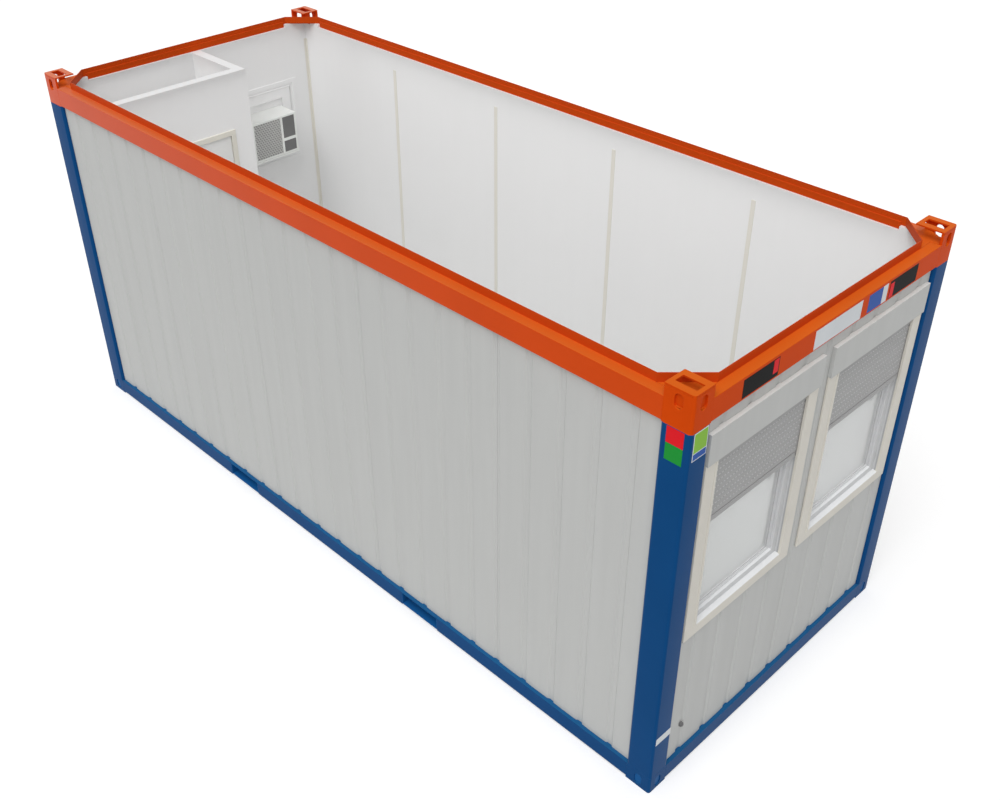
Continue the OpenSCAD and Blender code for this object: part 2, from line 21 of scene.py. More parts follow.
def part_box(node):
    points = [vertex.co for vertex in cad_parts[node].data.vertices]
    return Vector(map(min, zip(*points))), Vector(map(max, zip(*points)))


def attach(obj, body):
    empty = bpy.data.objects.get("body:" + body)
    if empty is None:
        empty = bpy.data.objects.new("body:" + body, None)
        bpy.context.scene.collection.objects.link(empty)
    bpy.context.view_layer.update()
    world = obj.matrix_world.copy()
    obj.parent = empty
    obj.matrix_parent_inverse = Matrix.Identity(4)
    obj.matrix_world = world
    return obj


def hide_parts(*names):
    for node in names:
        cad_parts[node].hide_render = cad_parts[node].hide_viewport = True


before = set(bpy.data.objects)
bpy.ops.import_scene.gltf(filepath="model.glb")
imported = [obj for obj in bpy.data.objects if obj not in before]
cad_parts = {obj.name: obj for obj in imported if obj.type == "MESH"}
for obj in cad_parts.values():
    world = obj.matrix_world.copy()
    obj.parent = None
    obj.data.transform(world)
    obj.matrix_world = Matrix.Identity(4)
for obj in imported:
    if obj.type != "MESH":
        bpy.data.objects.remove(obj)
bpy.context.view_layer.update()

LOG = logging.getLogger("site_cabin")
CABIN = "cabin"
INNER_DOOR = "inner_door"
FRONT_BACK = ("front", "back")
SIDES = (-1, 1)

Object = bpy.types.Object
Material = bpy.types.Material
Socket = bpy.types.NodeSocket
Tree = bpy.types.NodeTree
Corner = Sequence[float]
Box = tuple[Corner, Corner]
Colour = tuple[float, float, float]
FaceTest = Callable[[Vector, Vector], bool]


# ---------------------------------------------------------------- modelling helpers


def deselect() -> None:
    """Clears the selection."""
    bpy.ops.object.select_all(action="DESELECT")


def work_on(obj: Object) -> None:
    """Makes one object active and the only one selected."""
    deselect()
    obj.select_set(True)
    bpy.context.view_layer.objects.active = obj


def cad(node: str) -> tuple[Vector, Vector]:
    """Gives the lowest and highest corner of a CAD node."""
    low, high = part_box(node)
    return Vector(low), Vector(high)


def place_mesh() -> None:
    """Applies the active object's place, turn and scale to its mesh."""
    bpy.ops.object.transform_apply(location=True, rotation=True, scale=True)


def block(
    name: str, low: Corner, high: Corner, rounding: float = 0.0, segments: int = 2
) -> Object:
    """Adds a box.

    Args:
        name: Name of the object and its mesh.
        low: Lowest corner.
        high: Highest corner.
        rounding: Width of its edges' rounding, or 0 to keep them sharp.
        segments: Number of steps across the rounding.

    Returns:
        The box, with its place in its mesh.
    """
    low, high = Vector(low), Vector(high)
    deselect()
    bpy.ops.mesh.primitive_cube_add(size=1.0, location=(low + high) / 2)
    obj = bpy.context.active_object
    obj.scale = high - low
    place_mesh()
    obj.name = obj.data.name = name
    return round_edges(obj, rounding, segments) if rounding else obj


def rod(
    name: str, start: Corner, end: Corner, radius: float, sides: int = 24, rounding: float = 0.0
) -> Object:
    """Adds a round bar.

    Args:
        name: Name of the object and its mesh.
        start: Centre of one end.
        end: Centre of the other end.
        radius: Radius of the bar.
        sides: Number of faces round it.
        rounding: Width of its edges' rounding, or 0 to keep them sharp.

    Returns:
        The bar, with its place in its mesh.
    """
    start, end = Vector(start), Vector(end)
    deselect()
    bpy.ops.mesh.primitive_cylinder_add(
        vertices=sides, radius=radius, depth=(end - start).length, location=(start + end) / 2
    )
    obj = bpy.context.active_object
    obj.rotation_mode = "QUATERNION"
    obj.rotation_quaternion = (end - start).to_track_quat("Z", "Y")
    place_mesh()
    obj.name = obj.data.name = name
    return round_edges(obj, rounding) if rounding else obj


@contextmanager
def editing(obj: Object) -> Iterator[None]:
    """Opens an object in edit mode with all of it selected, and closes it after."""
    work_on(obj)
    bpy.ops.object.mode_set(mode="EDIT")
    bpy.ops.mesh.select_mode(type="FACE")
    bpy.ops.mesh.select_all(action="SELECT")
    try:
        yield
    finally:
        bpy.ops.object.mode_set(mode="OBJECT")


def push_faces(obj: Object, test: FaceTest, move: Corner = (0, 0, 0)) -> None:
    """Selects faces of an object in edit mode, and moves them.

    Args:
        obj: The object that is being edited.
        test: Says from a face's centre and normal whether to take it.
        move: How far the faces move.
    """
    bpy.ops.mesh.select_all(action="DESELECT")
    mesh = bmesh.from_edit_mesh(obj.data)
    for face in mesh.faces:
        if test(face.calc_center_median(), face.normal):
            face.select_set(True)
    bmesh.update_edit_mesh(obj.data)
    if any(move):
        bpy.ops.transform.translate(value=move)


def push_edges(obj: Object, test: Callable[[Vector], bool], move: Corner) -> None:
    """Moves the edges of an object in edit mode whose two ends pass a test."""
    bpy.ops.mesh.select_mode(type="EDGE")
    bpy.ops.mesh.select_all(action="DESELECT")
    mesh = bmesh.from_edit_mesh(obj.data)
    for edge in mesh.edges:
        if all(test(vertex.co) for vertex in edge.verts):
            edge.select_set(True)
    bmesh.update_edit_mesh(obj.data)
    bpy.ops.transform.translate(value=move)


def slice_along(axis: int, places: Sequence[float]) -> None:
    """Cuts the object in edit mode with planes across an axis."""
    normal = [float(i == axis) for i in range(3)]
    for place in places:
        bpy.ops.mesh.select_all(action="SELECT")
        bpy.ops.mesh.bisect(plane_co=[place * part for part in normal], plane_no=normal)


def apply_modifier(obj: Object, modifier: bpy.types.Modifier) -> None:
    """Applies one modifier."""
    work_on(obj)
    bpy.ops.object.modifier_apply(modifier=modifier.name)


def round_edges(obj: Object, width: float, segments: int = 2, angle: float = 35.0) -> Object:
    """Rounds the sharp edges and smooths the shading without bending flat faces.

    Args:
        obj: The object.
        width: Width of the rounding.
        segments: Number of steps across it.
        angle: Least angle of an edge that is rounded, in degrees.

    Returns:
        The same object.
    """
    work_on(obj)
    bpy.ops.object.shade_smooth()
    edge = obj.modifiers.new("rounding", "BEVEL")
    edge.width = width
    edge.segments = segments
    edge.limit_method = "ANGLE"
    edge.angle_limit = math.radians(angle)
    edge.harden_normals = True
    apply_modifier(obj, edge)
    return obj


def cut(obj: Object, *cutters: Object) -> Object:
    """Cuts other objects out of one and removes them."""
    for cutter in cutters:
        hole = obj.modifiers.new("hole", "BOOLEAN")
        hole.operation = "DIFFERENCE"
        hole.solver = "EXACT"
        hole.object = cutter
        apply_modifier(obj, hole)
        bpy.data.objects.remove(cutter)
    return obj


def pierce(obj: Object, *holes: Box) -> Object:
    """Cuts boxes out of an object, each given by its lowest and highest corner."""
    return cut(obj, *(block("hole", low, high) for low, high in holes))


def move_mesh(obj: Object, matrix: Matrix) -> Object:
    """Moves an object's mesh, and turns its faces back out after a mirror."""
    obj.data.transform(matrix)
    if matrix.determinant() < 0:
        obj.data.flip_normals()
    return obj


def twin(obj: Object, name: str, matrix: Matrix) -> Object:
    """Copies an object with a mesh of its own.

    Args:
        obj: The object to copy.
        name: Name of the copy.
        matrix: Where the copy lies, seen from the original.

    Returns:
        The copy.
    """
    other = bpy.data.objects.new(name, obj.data.copy())
    bpy.context.scene.collection.objects.link(other)
    other.data.name = name
    return move_mesh(other, matrix)


def joined(name: str, parts: Sequence[Object]) -> Object:
    """Joins objects into one of the given name."""
    deselect()
    for part in parts:
        part.select_set(True)
    bpy.context.view_layer.objects.active = parts[0]
    if len(parts) > 1:
        bpy.ops.object.join()
    obj = bpy.context.view_layer.objects.active
    obj.name = obj.data.name = name
    return obj


def spread(name: str, pattern: Object, places: Sequence[Matrix]) -> Object:
    """Joins copies of a pattern into one object, and removes the pattern."""
    copies = [twin(pattern, name, place) for place in places]
    bpy.data.objects.remove(pattern)
    return joined(name, copies)


def shift(x: float = 0.0, y: float = 0.0, z: float = 0.0) -> Matrix:
    """Gives a move along the axes."""
    return Matrix.Translation((x, y, z))


def mirrored(axis: str) -> Matrix:
    """Gives a mirror in the middle plane across an axis."""
    return Matrix.Scale(-1.0, 4, [float(letter == axis) for letter in "XYZ"])


def ring(
    name: str, low: Corner, high: Corner, inner_low: Corner, inner_high: Corner,
    rounding: float, segments: int = 2,
) -> Object:
    """Adds a rectangular frame across X, with rounded edges.

    Args:
        name: Name of the object.
        low: Lowest corner of the frame.
        high: Highest corner of the frame.
        inner_low: Lowest (y, z) of its opening.
        inner_high: Highest (y, z) of its opening.
        rounding: Width of the rounding.
        segments: Number of steps across it.

    Returns:
        The frame.
    """
    hole = ((low[0] - 0.01, *inner_low), (high[0] + 0.01, *inner_high))
    return round_edges(pierce(block(name, low, high), hole), rounding, segments)


def softened(node: str, width: float, segments: int = 2) -> Object:
    """Copies a CAD node as a clean mesh with its sharp edges rounded.

    Args:
        node: Name of the CAD node.
        width: Width of the rounding.
        segments: Number of steps across it.

    Returns:
        The copy.
    """
    obj = twin(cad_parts[node], node + "_shape", Matrix())
    work_on(obj)
    if obj.data.has_custom_normals:
        bpy.ops.mesh.customdata_custom_splitnormals_clear()
    with editing(obj):
        bpy.ops.mesh.remove_doubles(threshold=0.00001)
        bpy.ops.mesh.dissolve_limited(angle_limit=math.radians(1.0))
    return round_edges(obj, width, segments)


def hand_over(
    obj: Object, finish: Finish, body: str = CABIN, nodes: Sequence[str] = ()
) -> Object:
    """Dresses a finished piece, hangs it on its body's empty and hides the CAD nodes that it stands
    for.

    Args:
        obj: The piece.
        finish: Its finish.
        body: The CAD body it rides on.
        nodes: The CAD nodes it stands for.

    Returns:
        The piece.
    """
    obj.data.materials.clear()
    obj.data.materials.append(finish.material())
    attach(obj, body)
    if nodes:
        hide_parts(*nodes)
    LOG.info("%s: %d faces", obj.name, len(obj.data.polygons))
    return obj


# ---------------------------------------------------------------- finishes


def paint(red: int, green: int, blue: int) -> Colour:
    """Turns a colour as it is seen, 0 to 255, into the linear one that shaders take."""
    parts = (value / 255 for value in (red, green, blue))
    return tuple(
        part / 12.92 if part <= 0.04045 else ((part + 0.055) / 1.055) ** 2.4 for part in parts
    )


def scaled(colour: Colour, factor: float) -> Colour:
    """Makes a colour lighter or darker."""
    return tuple(min(1.0, part * factor) for part in colour)


def add_node(
    tree: Tree, kind: str, sockets: dict[str | int, object], output: str | int = 0, **options: str
) -> Socket | None:
    """Adds a node to a tree.

    Args:
        tree: The tree.
        kind: The node's type, without its prefix.
        sockets: What its input sockets hold or take, by their name or number.
        output: The output socket to give back.
        options: The node's own options.

    Returns:
        The output socket, or None if the node has none.
    """
    node = tree.nodes.new("ShaderNode" + kind)
    for name, value in options.items():
        setattr(node, name, value)
    for key, value in sockets.items():
        target = node.inputs[key]
        if isinstance(value, Socket):
            tree.links.new(value, target)
        else:
            target.default_value = (*value, 1.0) if target.type == "RGBA" else value
    return node.outputs[output] if node.outputs else None


class ShaderBoard:
    """A material's node tree with short ways to add what the finishes share."""

    def __init__(self, name: str) -> None:
        """Starts a material with only its main shader."""
        self.material = bpy.data.materials.new(name)
        self.material.use_nodes = True
        self.tree = self.material.node_tree
        self.shader = self.tree.nodes["Principled BSDF"]
        self.place = self.add("TexCoord", {}, "Object")

    def add(self, kind: str, sockets: dict, output: str | int = 0, **options: str) -> Socket:
        """Adds a node to the material."""
        return add_node(self.tree, kind, sockets, output, **options)

    def constant(self, socket: str, value: float | Colour) -> None:
        """Sets a value on the main shader's own socket."""
        target = self.shader.inputs[socket]
        target.default_value = (*value, 1.0) if isinstance(value, tuple) else value

    def feed(self, source: Socket, socket: str) -> None:
        """Links a pattern to one of the main shader's sockets."""
        self.tree.links.new(source, self.shader.inputs[socket])

    def noise(self, scale: float, detail: float, stretch: Corner = (1, 1, 1)) -> Socket:
        """Gives a soft random pattern from 0 to 1.

        Args:
            scale: Number of blotches in a metre.
            detail: Number of finer layers.
            stretch: Scale along each axis.

        Returns:
            The pattern's socket.
        """
        place = self.add("Mapping", {"Scale": stretch, "Vector": self.place}, "Vector")
        return self.add("TexNoise", {"Scale": scale, "Detail": detail, "Vector": place}, "Fac")

    def remap(
        self, source: Socket, low: float, high: float, to_low: float, to_high: float
    ) -> Socket:
        """Maps a range of a pattern onto another, and stops at its ends."""
        ranges = {"From Min": low, "From Max": high, "To Min": to_low, "To Max": to_high}
        return self.add("MapRange", {**ranges, "Value": source}, "Result")

    def clouds(self, pattern: Socket, low: float = 0.0, high: float = 1.0) -> Socket:
        """Stretches a noise's usual range over another."""
        return self.remap(pattern, 0.3, 0.7, low, high)

    def mix(self, share: Socket, first: Colour | Socket, second: Colour | Socket,
            blend: str = "MIX") -> Socket:
        """Blends two colours by a pattern."""
        sockets = {0: share, 6: first, 7: second}
        return self.add("Mix", sockets, 2, data_type="RGBA", blend_type=blend)

    def math(self, operation: str, first: Socket | float, second: Socket | float) -> Socket:
        """Reckons with two values."""
        return self.add("Math", {0: first, 1: second}, operation=operation)

    def bump(self, height: Socket, depth: float, strength: float = 1.0) -> None:
        """Raises the surface by a pattern that is a given number of metres deep."""
        sockets = {"Strength": strength, "Distance": depth, "Height": height}
        self.feed(self.add("Bump", sockets, "Normal"), "Normal")

    def paint_top_light(self, factor: Colour) -> None:
        """Paints light or shade onto faces that look up, by multiplying their colour by a factor
        for each channel.
        """
        normal = self.add("NewGeometry", {}, "Normal")
        upward = self.remap(self.add("SeparateXYZ", {"Vector": normal}, "Z"), 0.5, 0.95, 0.0, 1.0)
        colour = self.shader.inputs["Base Color"].links[0].from_socket
        self.feed(self.mix(upward, colour, factor, "MULTIPLY"), "Base Color")

    def edge_gloss(self, strength: float) -> None:
        """Adds a soft gloss that grows towards the surface's edge, as a thin varnish has."""
        facing = self.add("LayerWeight", {"Blend": 0.5}, "Facing")
        share = self.remap(self.math("POWER", facing, 5.0), 0.0, 1.0, 0.0, strength)
        gloss = self.add("BsdfGlossy", {"Roughness": 0.35}, "BSDF")
        sockets = {"Fac": share, 1: self.shader.outputs["BSDF"], 2: gloss}
        blend = self.add("MixShader", sockets, "Shader")
        self.tree.links.new(blend, self.tree.nodes["Material Output"].inputs["Surface"])


@dataclass(frozen=True)
class Finish:
    """A surface finish. Subclasses draw what is special about theirs."""

    name: str
    colour: Colour
    roughness: float = 0.5
    # Factor for each colour channel that paints light or shade onto faces that look up.
    top: Colour = (1.0, 1.0, 1.0)

    def draw(self, board: ShaderBoard) -> None:
        """Draws the finish on a new material's node tree."""
        raise NotImplementedError

    def shades(self, board: ShaderBoard, share: Socket, low: float, high: float) -> Socket:
        """Blends a darker and a lighter shade of the finish's colour by a pattern."""
        return board.mix(share, scaled(self.colour, low), scaled(self.colour, high))

    def material(self) -> Material:
        """Gives the finish's material, drawn the first time it is asked for."""
        found = bpy.data.materials.get(self.name)
        if found:
            return found
        board = ShaderBoard(self.name)
        board.constant("Roughness", self.roughness)
        self.draw(board)
        # Faces that look up get painted light or shade from the top factor.
        if self.top != (1.0, 1.0, 1.0):
            board.paint_top_light(self.top)
        board.material.diffuse_color = (*self.colour, 1.0)
        return board.material


@dataclass(frozen=True)
class Enamel(Finish):
    """Sprayed enamel on steel: a light orange-peel surface, cloudy gloss and road dust."""

    dust: float = 0.0
    dust_height: float = 0.5
    gloss: float = 0.9
    bloom: float = 0.0

    def draw(self, board: ShaderBoard) -> None:
        """Draws cloudy colour, dust that thins with height, and orange peel."""
        colour = self.shades(board, board.clouds(board.noise(1.7, 5.0)), 0.95, 1.04)
        if self.dust:
            height = board.add("SeparateXYZ", {"Vector": board.place}, "Z")
            low = board.remap(height, 0.0, self.dust_height, self.dust, 0.0)
            patchy = board.math("MULTIPLY", low, board.noise(9.0, 6.0))
            colour = board.mix(patchy, colour, paint(150, 146, 136))
        board.feed(colour, "Base Color")
        gloss = board.noise(3.1, 4.0)
        board.feed(board.clouds(gloss, self.roughness - 0.05, self.roughness + 0.06), "Roughness")
        board.bump(board.noise(240.0, 2.0), 0.0001, 0.12)
        board.constant("Specular IOR Level", 0.0)
        board.constant("Sheen Weight", self.bloom)
        board.constant("Sheen Roughness", 0.35)
        board.edge_gloss(self.gloss)


@dataclass(frozen=True)
class CoatedSheet(Finish):
    """Coil-coated steel sheet: fine embossing and faint streaks along the rolling direction."""

    streak: float = 0.02
    stretch: tuple[float, float, float] = (1.0, 1.0, 0.06)

    def draw(self, board: ShaderBoard) -> None:
        """Draws long faint streaks, soft clouds and the embossed grain."""
        streaks = board.clouds(board.noise(14.0, 3.0, self.stretch))
        colour = self.shades(board, streaks, 1 - self.streak, 1 + self.streak)
        clouds = board.remap(board.noise(0.9, 2.0), 0.35, 0.65, 0.0, 0.35)
        board.feed(board.mix(clouds, colour, scaled(self.colour, 0.975)), "Base Color")
        gloss = board.noise(6.0, 3.0, self.stretch)
        board.feed(board.clouds(gloss, self.roughness - 0.05, self.roughness + 0.07), "Roughness")
        board.bump(board.noise(180.0, 1.0), 0.0001, 0.05)
        board.constant("Specular IOR Level", 0.2)


@dataclass(frozen=True)
class MouldedPlastic(Finish):
    """Moulded or extruded plastic with a fine even grain."""

    grain: float = 300.0
    sheen: float = 0.25

    def draw(self, board: ShaderBoard) -> None:
        """Draws a faint tone change and the moulded grain."""
        tone = board.clouds(board.noise(5.0, 3.0))
        board.feed(self.shades(board, tone, 0.97, 1.02), "Base Color")
        board.bump(board.noise(self.grain, 1.0), 0.00006, 0.04)
        board.constant("Specular IOR Level", self.sheen)


@dataclass(frozen=True)
class SheetFlooring(Finish):
    """Hard sheet flooring with fine flecks."""

    def draw(self, board: ShaderBoard) -> None:
        """Draws two sizes of fleck, scuffs and a light emboss."""
        cells = board.add("TexVoronoi", {"Scale": 160.0, "Vector": board.place}, "Distance")
        flecks = board.remap(cells, 0.12, 0.3, 1.0, 0.0)
        colour = board.mix(flecks, self.colour, scaled(self.colour, 0.72))
        scuffs = board.remap(board.noise(2.3, 6.0), 0.45, 0.8, 0.0, 0.4)
        board.feed(board.mix(scuffs, colour, scaled(self.colour, 0.9)), "Base Color")
        gloss = board.noise(4.0, 5.0)
        board.feed(board.clouds(gloss, self.roughness - 0.1, self.roughness + 0.1), "Roughness")
        board.bump(board.noise(500.0, 1.0), 0.0001, 0.4)


@dataclass(frozen=True)
class ClearGlass(Finish):
    """Clear insulating glass, with a pale half-clear veil that paints its reflection."""

    painted_reflection: float = 0.42

    def draw(self, board: ShaderBoard) -> None:
        """Sets clear glass with a slight tint, whose pale colour at part strength paints a
        reflection, and a trace of unevenness.
        """
        board.constant("Base Color", self.colour)
        # The pale base colour at this alpha paints the glass's reflection.
        board.constant("Alpha", self.painted_reflection)
        board.constant("IOR", 1.45)
        board.bump(board.noise(1.3, 1.0), 0.00003, 0.2)


@dataclass(frozen=True)
class BareSteel(Finish):
    """Zinc-plated or brushed steel."""

    def draw(self, board: ShaderBoard) -> None:
        """Draws fine brushing on metal."""
        brushed = board.noise(90.0, 4.0, (1.0, 1.0, 12.0))
        board.feed(board.clouds(brushed, 0.28, 0.5), "Roughness")
        board.feed(self.shades(board, brushed, 0.88, 1.08), "Base Color")
        board.constant("Metallic", 1.0)
        board.bump(brushed, 0.00004, 0.3)


@dataclass(frozen=True)
class Rubber(Finish):
    """Soft sealing rubber."""

    def draw(self, board: ShaderBoard) -> None:
        """Draws a dull, slightly dusty surface."""
        dust = board.remap(board.noise(40.0, 4.0), 0.5, 0.9, 0.0, 0.3)
        board.feed(board.mix(dust, self.colour, scaled(self.colour, 0.9)), "Base Color")
        board.constant("Specular IOR Level", 0.25)
        board.bump(board.noise(300.0, 2.0), 0.0002, 0.3)


def plate_finish(name: str, red: int, green: int, blue: int) -> MouldedPlastic:
    """Gives the finish of a blank plate."""
    return MouldedPlastic(name, paint(red, green, blue), 0.45, sheen=0.08)


# The orange's top factor paints light onto faces that look up, paling them as a highlight.
ORANGE = Enamel("orange_enamel", paint(219, 76, 15), 0.55, gloss=0.3, top=(1.03, 1.8, 2.6))
ORANGE_LONG = Enamel(
    "orange_enamel_long", paint(219, 76, 14), 0.55, gloss=0.9, bloom=0.3, top=(1.03, 1.75, 2.4)
)
# A darker copy of the orange enamel, painting shade on the rails' inner upstands and bands.
ORANGE_PAINTED_SHADE = Enamel("orange_enamel_painted_shade", paint(207, 75, 22), 0.55, gloss=0.4)
# The blue's top factor paints light onto faces that look up.
BLUE = Enamel(
    "blue_enamel", paint(20, 75, 130), 0.48, gloss=0.4, dust=0.01, top=(2.2, 1.6, 1.25)
)
# A lighter copy of the blue that paints light into the fork tunnels and behind the lower fittings'
# holes.
BLUE_PAINTED_LIGHT = Enamel("blue_enamel_painted_light", paint(28, 94, 156), 0.48, gloss=0.4)
PRIMER = Enamel("underfloor_primer", paint(70, 76, 82), 0.6, dust=0.1)
# The panel grey's top factor paints light onto faces that look up.
PANEL = CoatedSheet("panel_grey", paint(200, 201, 199), 0.5, top=(1.4, 1.4, 1.4))
LINING = CoatedSheet("lining_white", paint(240, 240, 240), 0.55, streak=0.004)
CREAM = Enamel("cream_enamel", paint(226, 223, 213), 0.45)
STRIP = CoatedSheet("strip_cream", paint(229, 226, 217), 0.5, streak=0.004)
# The casing's top factor paints light onto faces that look up.
CASING = MouldedPlastic("casing_cream", paint(224, 220, 210), 0.42, top=(1.2, 1.2, 1.2))
# The sash white is greyed to paint shade on its upright faces, and its top factor paints light onto
# faces that look up.
SASH = MouldedPlastic("sash_white", paint(214, 215, 216), 0.4, top=(1.35, 1.35, 1.35))
SLATS = CoatedSheet("shutter_grey", paint(172, 172, 172), 0.5, stretch=(1.0, 0.06, 1.0))
# Pale tabs whose colour paints the light that shows through the slots between the slats.
SLOT_LIGHT_TABS = MouldedPlastic("shutter_slot_light", paint(206, 206, 206), 0.5)
GLASS = ClearGlass("clear_glass", paint(248, 250, 250), 0.03)
FLOORING = SheetFlooring("sheet_flooring", paint(200, 202, 200), 0.55)
DOOR_SKIN = MouldedPlastic("door_laminate", paint(234, 234, 234), 0.5, grain=200.0)
# The case's top factor paints shade onto its faces that look up.
CASE = MouldedPlastic("aircon_white", paint(240, 242, 239), 0.4, top=(0.84, 0.84, 0.84))
CASE_DARK = MouldedPlastic("aircon_dark", paint(122, 122, 122), 0.5, sheen=0.1)
BACKING = MouldedPlastic("aircon_backing", paint(164, 164, 163), 0.6, sheen=0.1)
GRILLE = MouldedPlastic("aircon_grille", paint(206, 206, 204), 0.5)
BLACK = MouldedPlastic("handle_black", paint(34, 34, 36), 0.4)
STEEL = BareSteel("plated_steel", paint(196, 197, 198), 0.35)
SEAL = Rubber("sealing_rubber", paint(186, 187, 188), 0.7)
PLATE_BLACK = MouldedPlastic("plate_black", paint(22, 22, 22), 0.5, sheen=0.04)
PLATE_RED = plate_finish("plate_red", 232, 26, 38)
PLATE_GREEN = plate_finish("plate_green", 30, 152, 56)
PLATE_LIME = plate_finish("plate_lime", 142, 196, 70)
PLATE_WHITE = plate_finish("plate_white", 226, 230, 233)
PLATE_BLUE = plate_finish("plate_blue", 46, 90, 172)


# ---------------------------------------------------------------- steel frame


@dataclass
class SteelFrame:
    """The load-bearing frame: posts, corner fittings, rails, fork tunnels and joists."""

    rounding: float = 0.0015
    fitting_rounding: float = 0.0022
    bead_radius: float = 0.0022
    bead_end: float = 0.014
    ripple: float = 0.008
    seam_low: float = 0.0125
    seam_high: float = 0.0095
    seam_depth: float = 0.0025
    recess: float = 0.006
    head_recess: float = 0.013
    sheet: float = 0.004
    rim: float = 0.006
    clearance: float = 0.0006
    corner_cut: float = 0.204
    band_cut: float = 0.2286
    drum_gap: float = 0.020

    def build(self) -> None:
        """Builds the frame's pieces and dresses them."""
        sides = (*FRONT_BACK, "left", "right")
        for node in (*(f"top_rail_{side}" for side in sides), "roof_corner_gussets"):
            long_rail = node.removeprefix("top_rail_") in FRONT_BACK
            finish = ORANGE_LONG if long_rail else ORANGE
            piece = hand_over(softened(node, self.rounding), finish, nodes=[node])
            self.paint_inside_shade(piece)
        posts = [f"corner_post_{side}_{end}" for side in FRONT_BACK for end in ("left", "right")]
        for node in (*(f"bottom_rail_{side}" for side in sides), "fork_tunnels", *posts):
            # The fork tunnels get the lighter blue, which paints light inside them.
            finish = BLUE_PAINTED_LIGHT if node == "fork_tunnels" else BLUE
            hand_over(softened(node, self.rounding), finish, nodes=[node])
        for node, finish, slot in (
            ("top_fittings_left", ORANGE_LONG, "orange_frame"),
            ("top_fittings_right", ORANGE, "orange_frame"),
            ("bottom_corner_fittings", BLUE, "blue_frame"),
        ):
            piece = softened(node, self.fitting_rounding, 3)
            if slot == "orange_frame":
                self.seam(piece, *cad(node))
            hand_over(piece, finish, nodes=[node])
        joists = softened("floor_joists", self.rounding)
        hand_over(joists, PRIMER, nodes=["floor_joists"])
        self.welds()
        self.inner_plates()
        self.foot_plates()
        self.corner_plates()

    def paint_inside_shade(self, piece: Object) -> None:
        """Paints shade onto the upstands and bands on a rail's inner side, with a darker copy of
        the orange enamel.
        """
        low, high = cad("roof_corner_gussets")
        level = low.z + self.sheet + 0.001
        piece.data.materials.append(ORANGE_PAINTED_SHADE.material())
        for polygon in piece.data.polygons:
            x, y, z = polygon.center
            inside = abs(x) < high.x + 0.0004 and abs(y) < high.y + 0.0004
            if z > level or (inside and z < level - self.sheet and polygon.normal.z > -0.9):
                polygon.material_index = 1

    def seam(self, piece: Object, low: Vector, high: Vector) -> None:
        """Cuts the fine seam under the top plates of one end's upper fittings.

        Args:
            piece: The fittings.
            low: Their lowest corner.
            high: Their highest corner.
        """
        inner_y = cad("top_rail_right")[1].y
        depth = self.seam_depth
        for side in SIDES:
            y_low, y_high = sorted((side * inner_y, side * high.y))
            groove = block(
                "groove", (low.x - 0.01, y_low - 0.01, high.z - self.seam_low),
                (high.x + 0.01, y_high + 0.01, high.z - self.seam_high),
            )
            core = (
                (low.x + depth, y_low + depth, high.z - 0.02),
                (high.x - depth, y_high - depth, high.z),
            )
            cut(piece, pierce(groove, core))

    def bead(self, start: Corner, end: Corner) -> Object:
        """Models a weld bead with a rippled back.

        Args:
            start: Centre of the bead's one end.
            end: Centre of its other end.

        Returns:
            The bead.
        """
        start, end = Vector(start), Vector(end)
        run = end - start
        ripples = max(4, int(run.length / self.ripple))
        bead = rod("weld_bead", start, end, self.bead_radius, 10)
        axis = max(range(3), key=lambda i: abs(run[i]))
        low = min(start[axis], end[axis])
        with editing(bead):
            slice_along(axis, [low + run.length * (i + 0.5) / ripples for i in range(ripples)])
        middle = (start + end) / 2
        for vertex in bead.data.vertices:
            turn = math.cos(math.tau * ripples * (vertex.co[axis] - low) / run.length)
            for i in range(3):
                if i != axis:
                    vertex.co[i] = middle[i] + (vertex.co[i] - middle[i]) * (1.0 + 0.2 * turn)
        work_on(bead)
        bpy.ops.object.shade_smooth()
        return bead

    def corner(self, fittings: str, level: str) -> tuple[Vector, Vector, float, float]:
        """Gives the near right corner's fitting and the ends of the rails that meet it.

        Args:
            fittings: CAD node of the fittings.
            level: Level of the rails, top or bottom.

        Returns:
            The fitting's lowest and highest corner, the long rail's X and the end rail's Y.
        """
        low, high = cad(fittings)
        return low, high, cad(level + "_rail_front")[1].x, cad(level + "_rail_right")[0].y

    def at_corners(self, name: str, parts: Sequence[Object], finish: Finish) -> None:
        """Copies parts from the near right corner to all four, and hands them over as one.

        Args:
            name: Name of the piece.
            parts: The parts at the near right corner.
            finish: The piece's finish.
        """
        corner = joined(name, parts)
        across, along = mirrored("X"), mirrored("Y")
        copies = [twin(corner, name, turn) for turn in (across, along, across @ along)]
        hand_over(joined(name, [corner, *copies]), finish)

    def welds(self) -> None:
        """Runs weld beads where the posts meet the corner fittings."""
        low, high, inner_x, inner_y = self.corner("top_fittings_right", "top")
        sink, end = self.bead_radius * 0.5, self.bead_end
        for name, finish, slot, level in (
            ("upper_welds", ORANGE, "orange_frame", low.z),
            ("lower_welds", BLUE, "blue_frame", cad("bottom_rail_front")[1].z),
        ):
            runs = (
                ((inner_x + end, low.y + sink), (high.x - end, low.y + sink)),
                ((high.x - sink, inner_y - end), (high.x - sink, low.y + end)),
            )
            beads = [self.bead((*start, level), (*stop, level)) for start, stop in runs]
            self.at_corners(name, beads, finish)

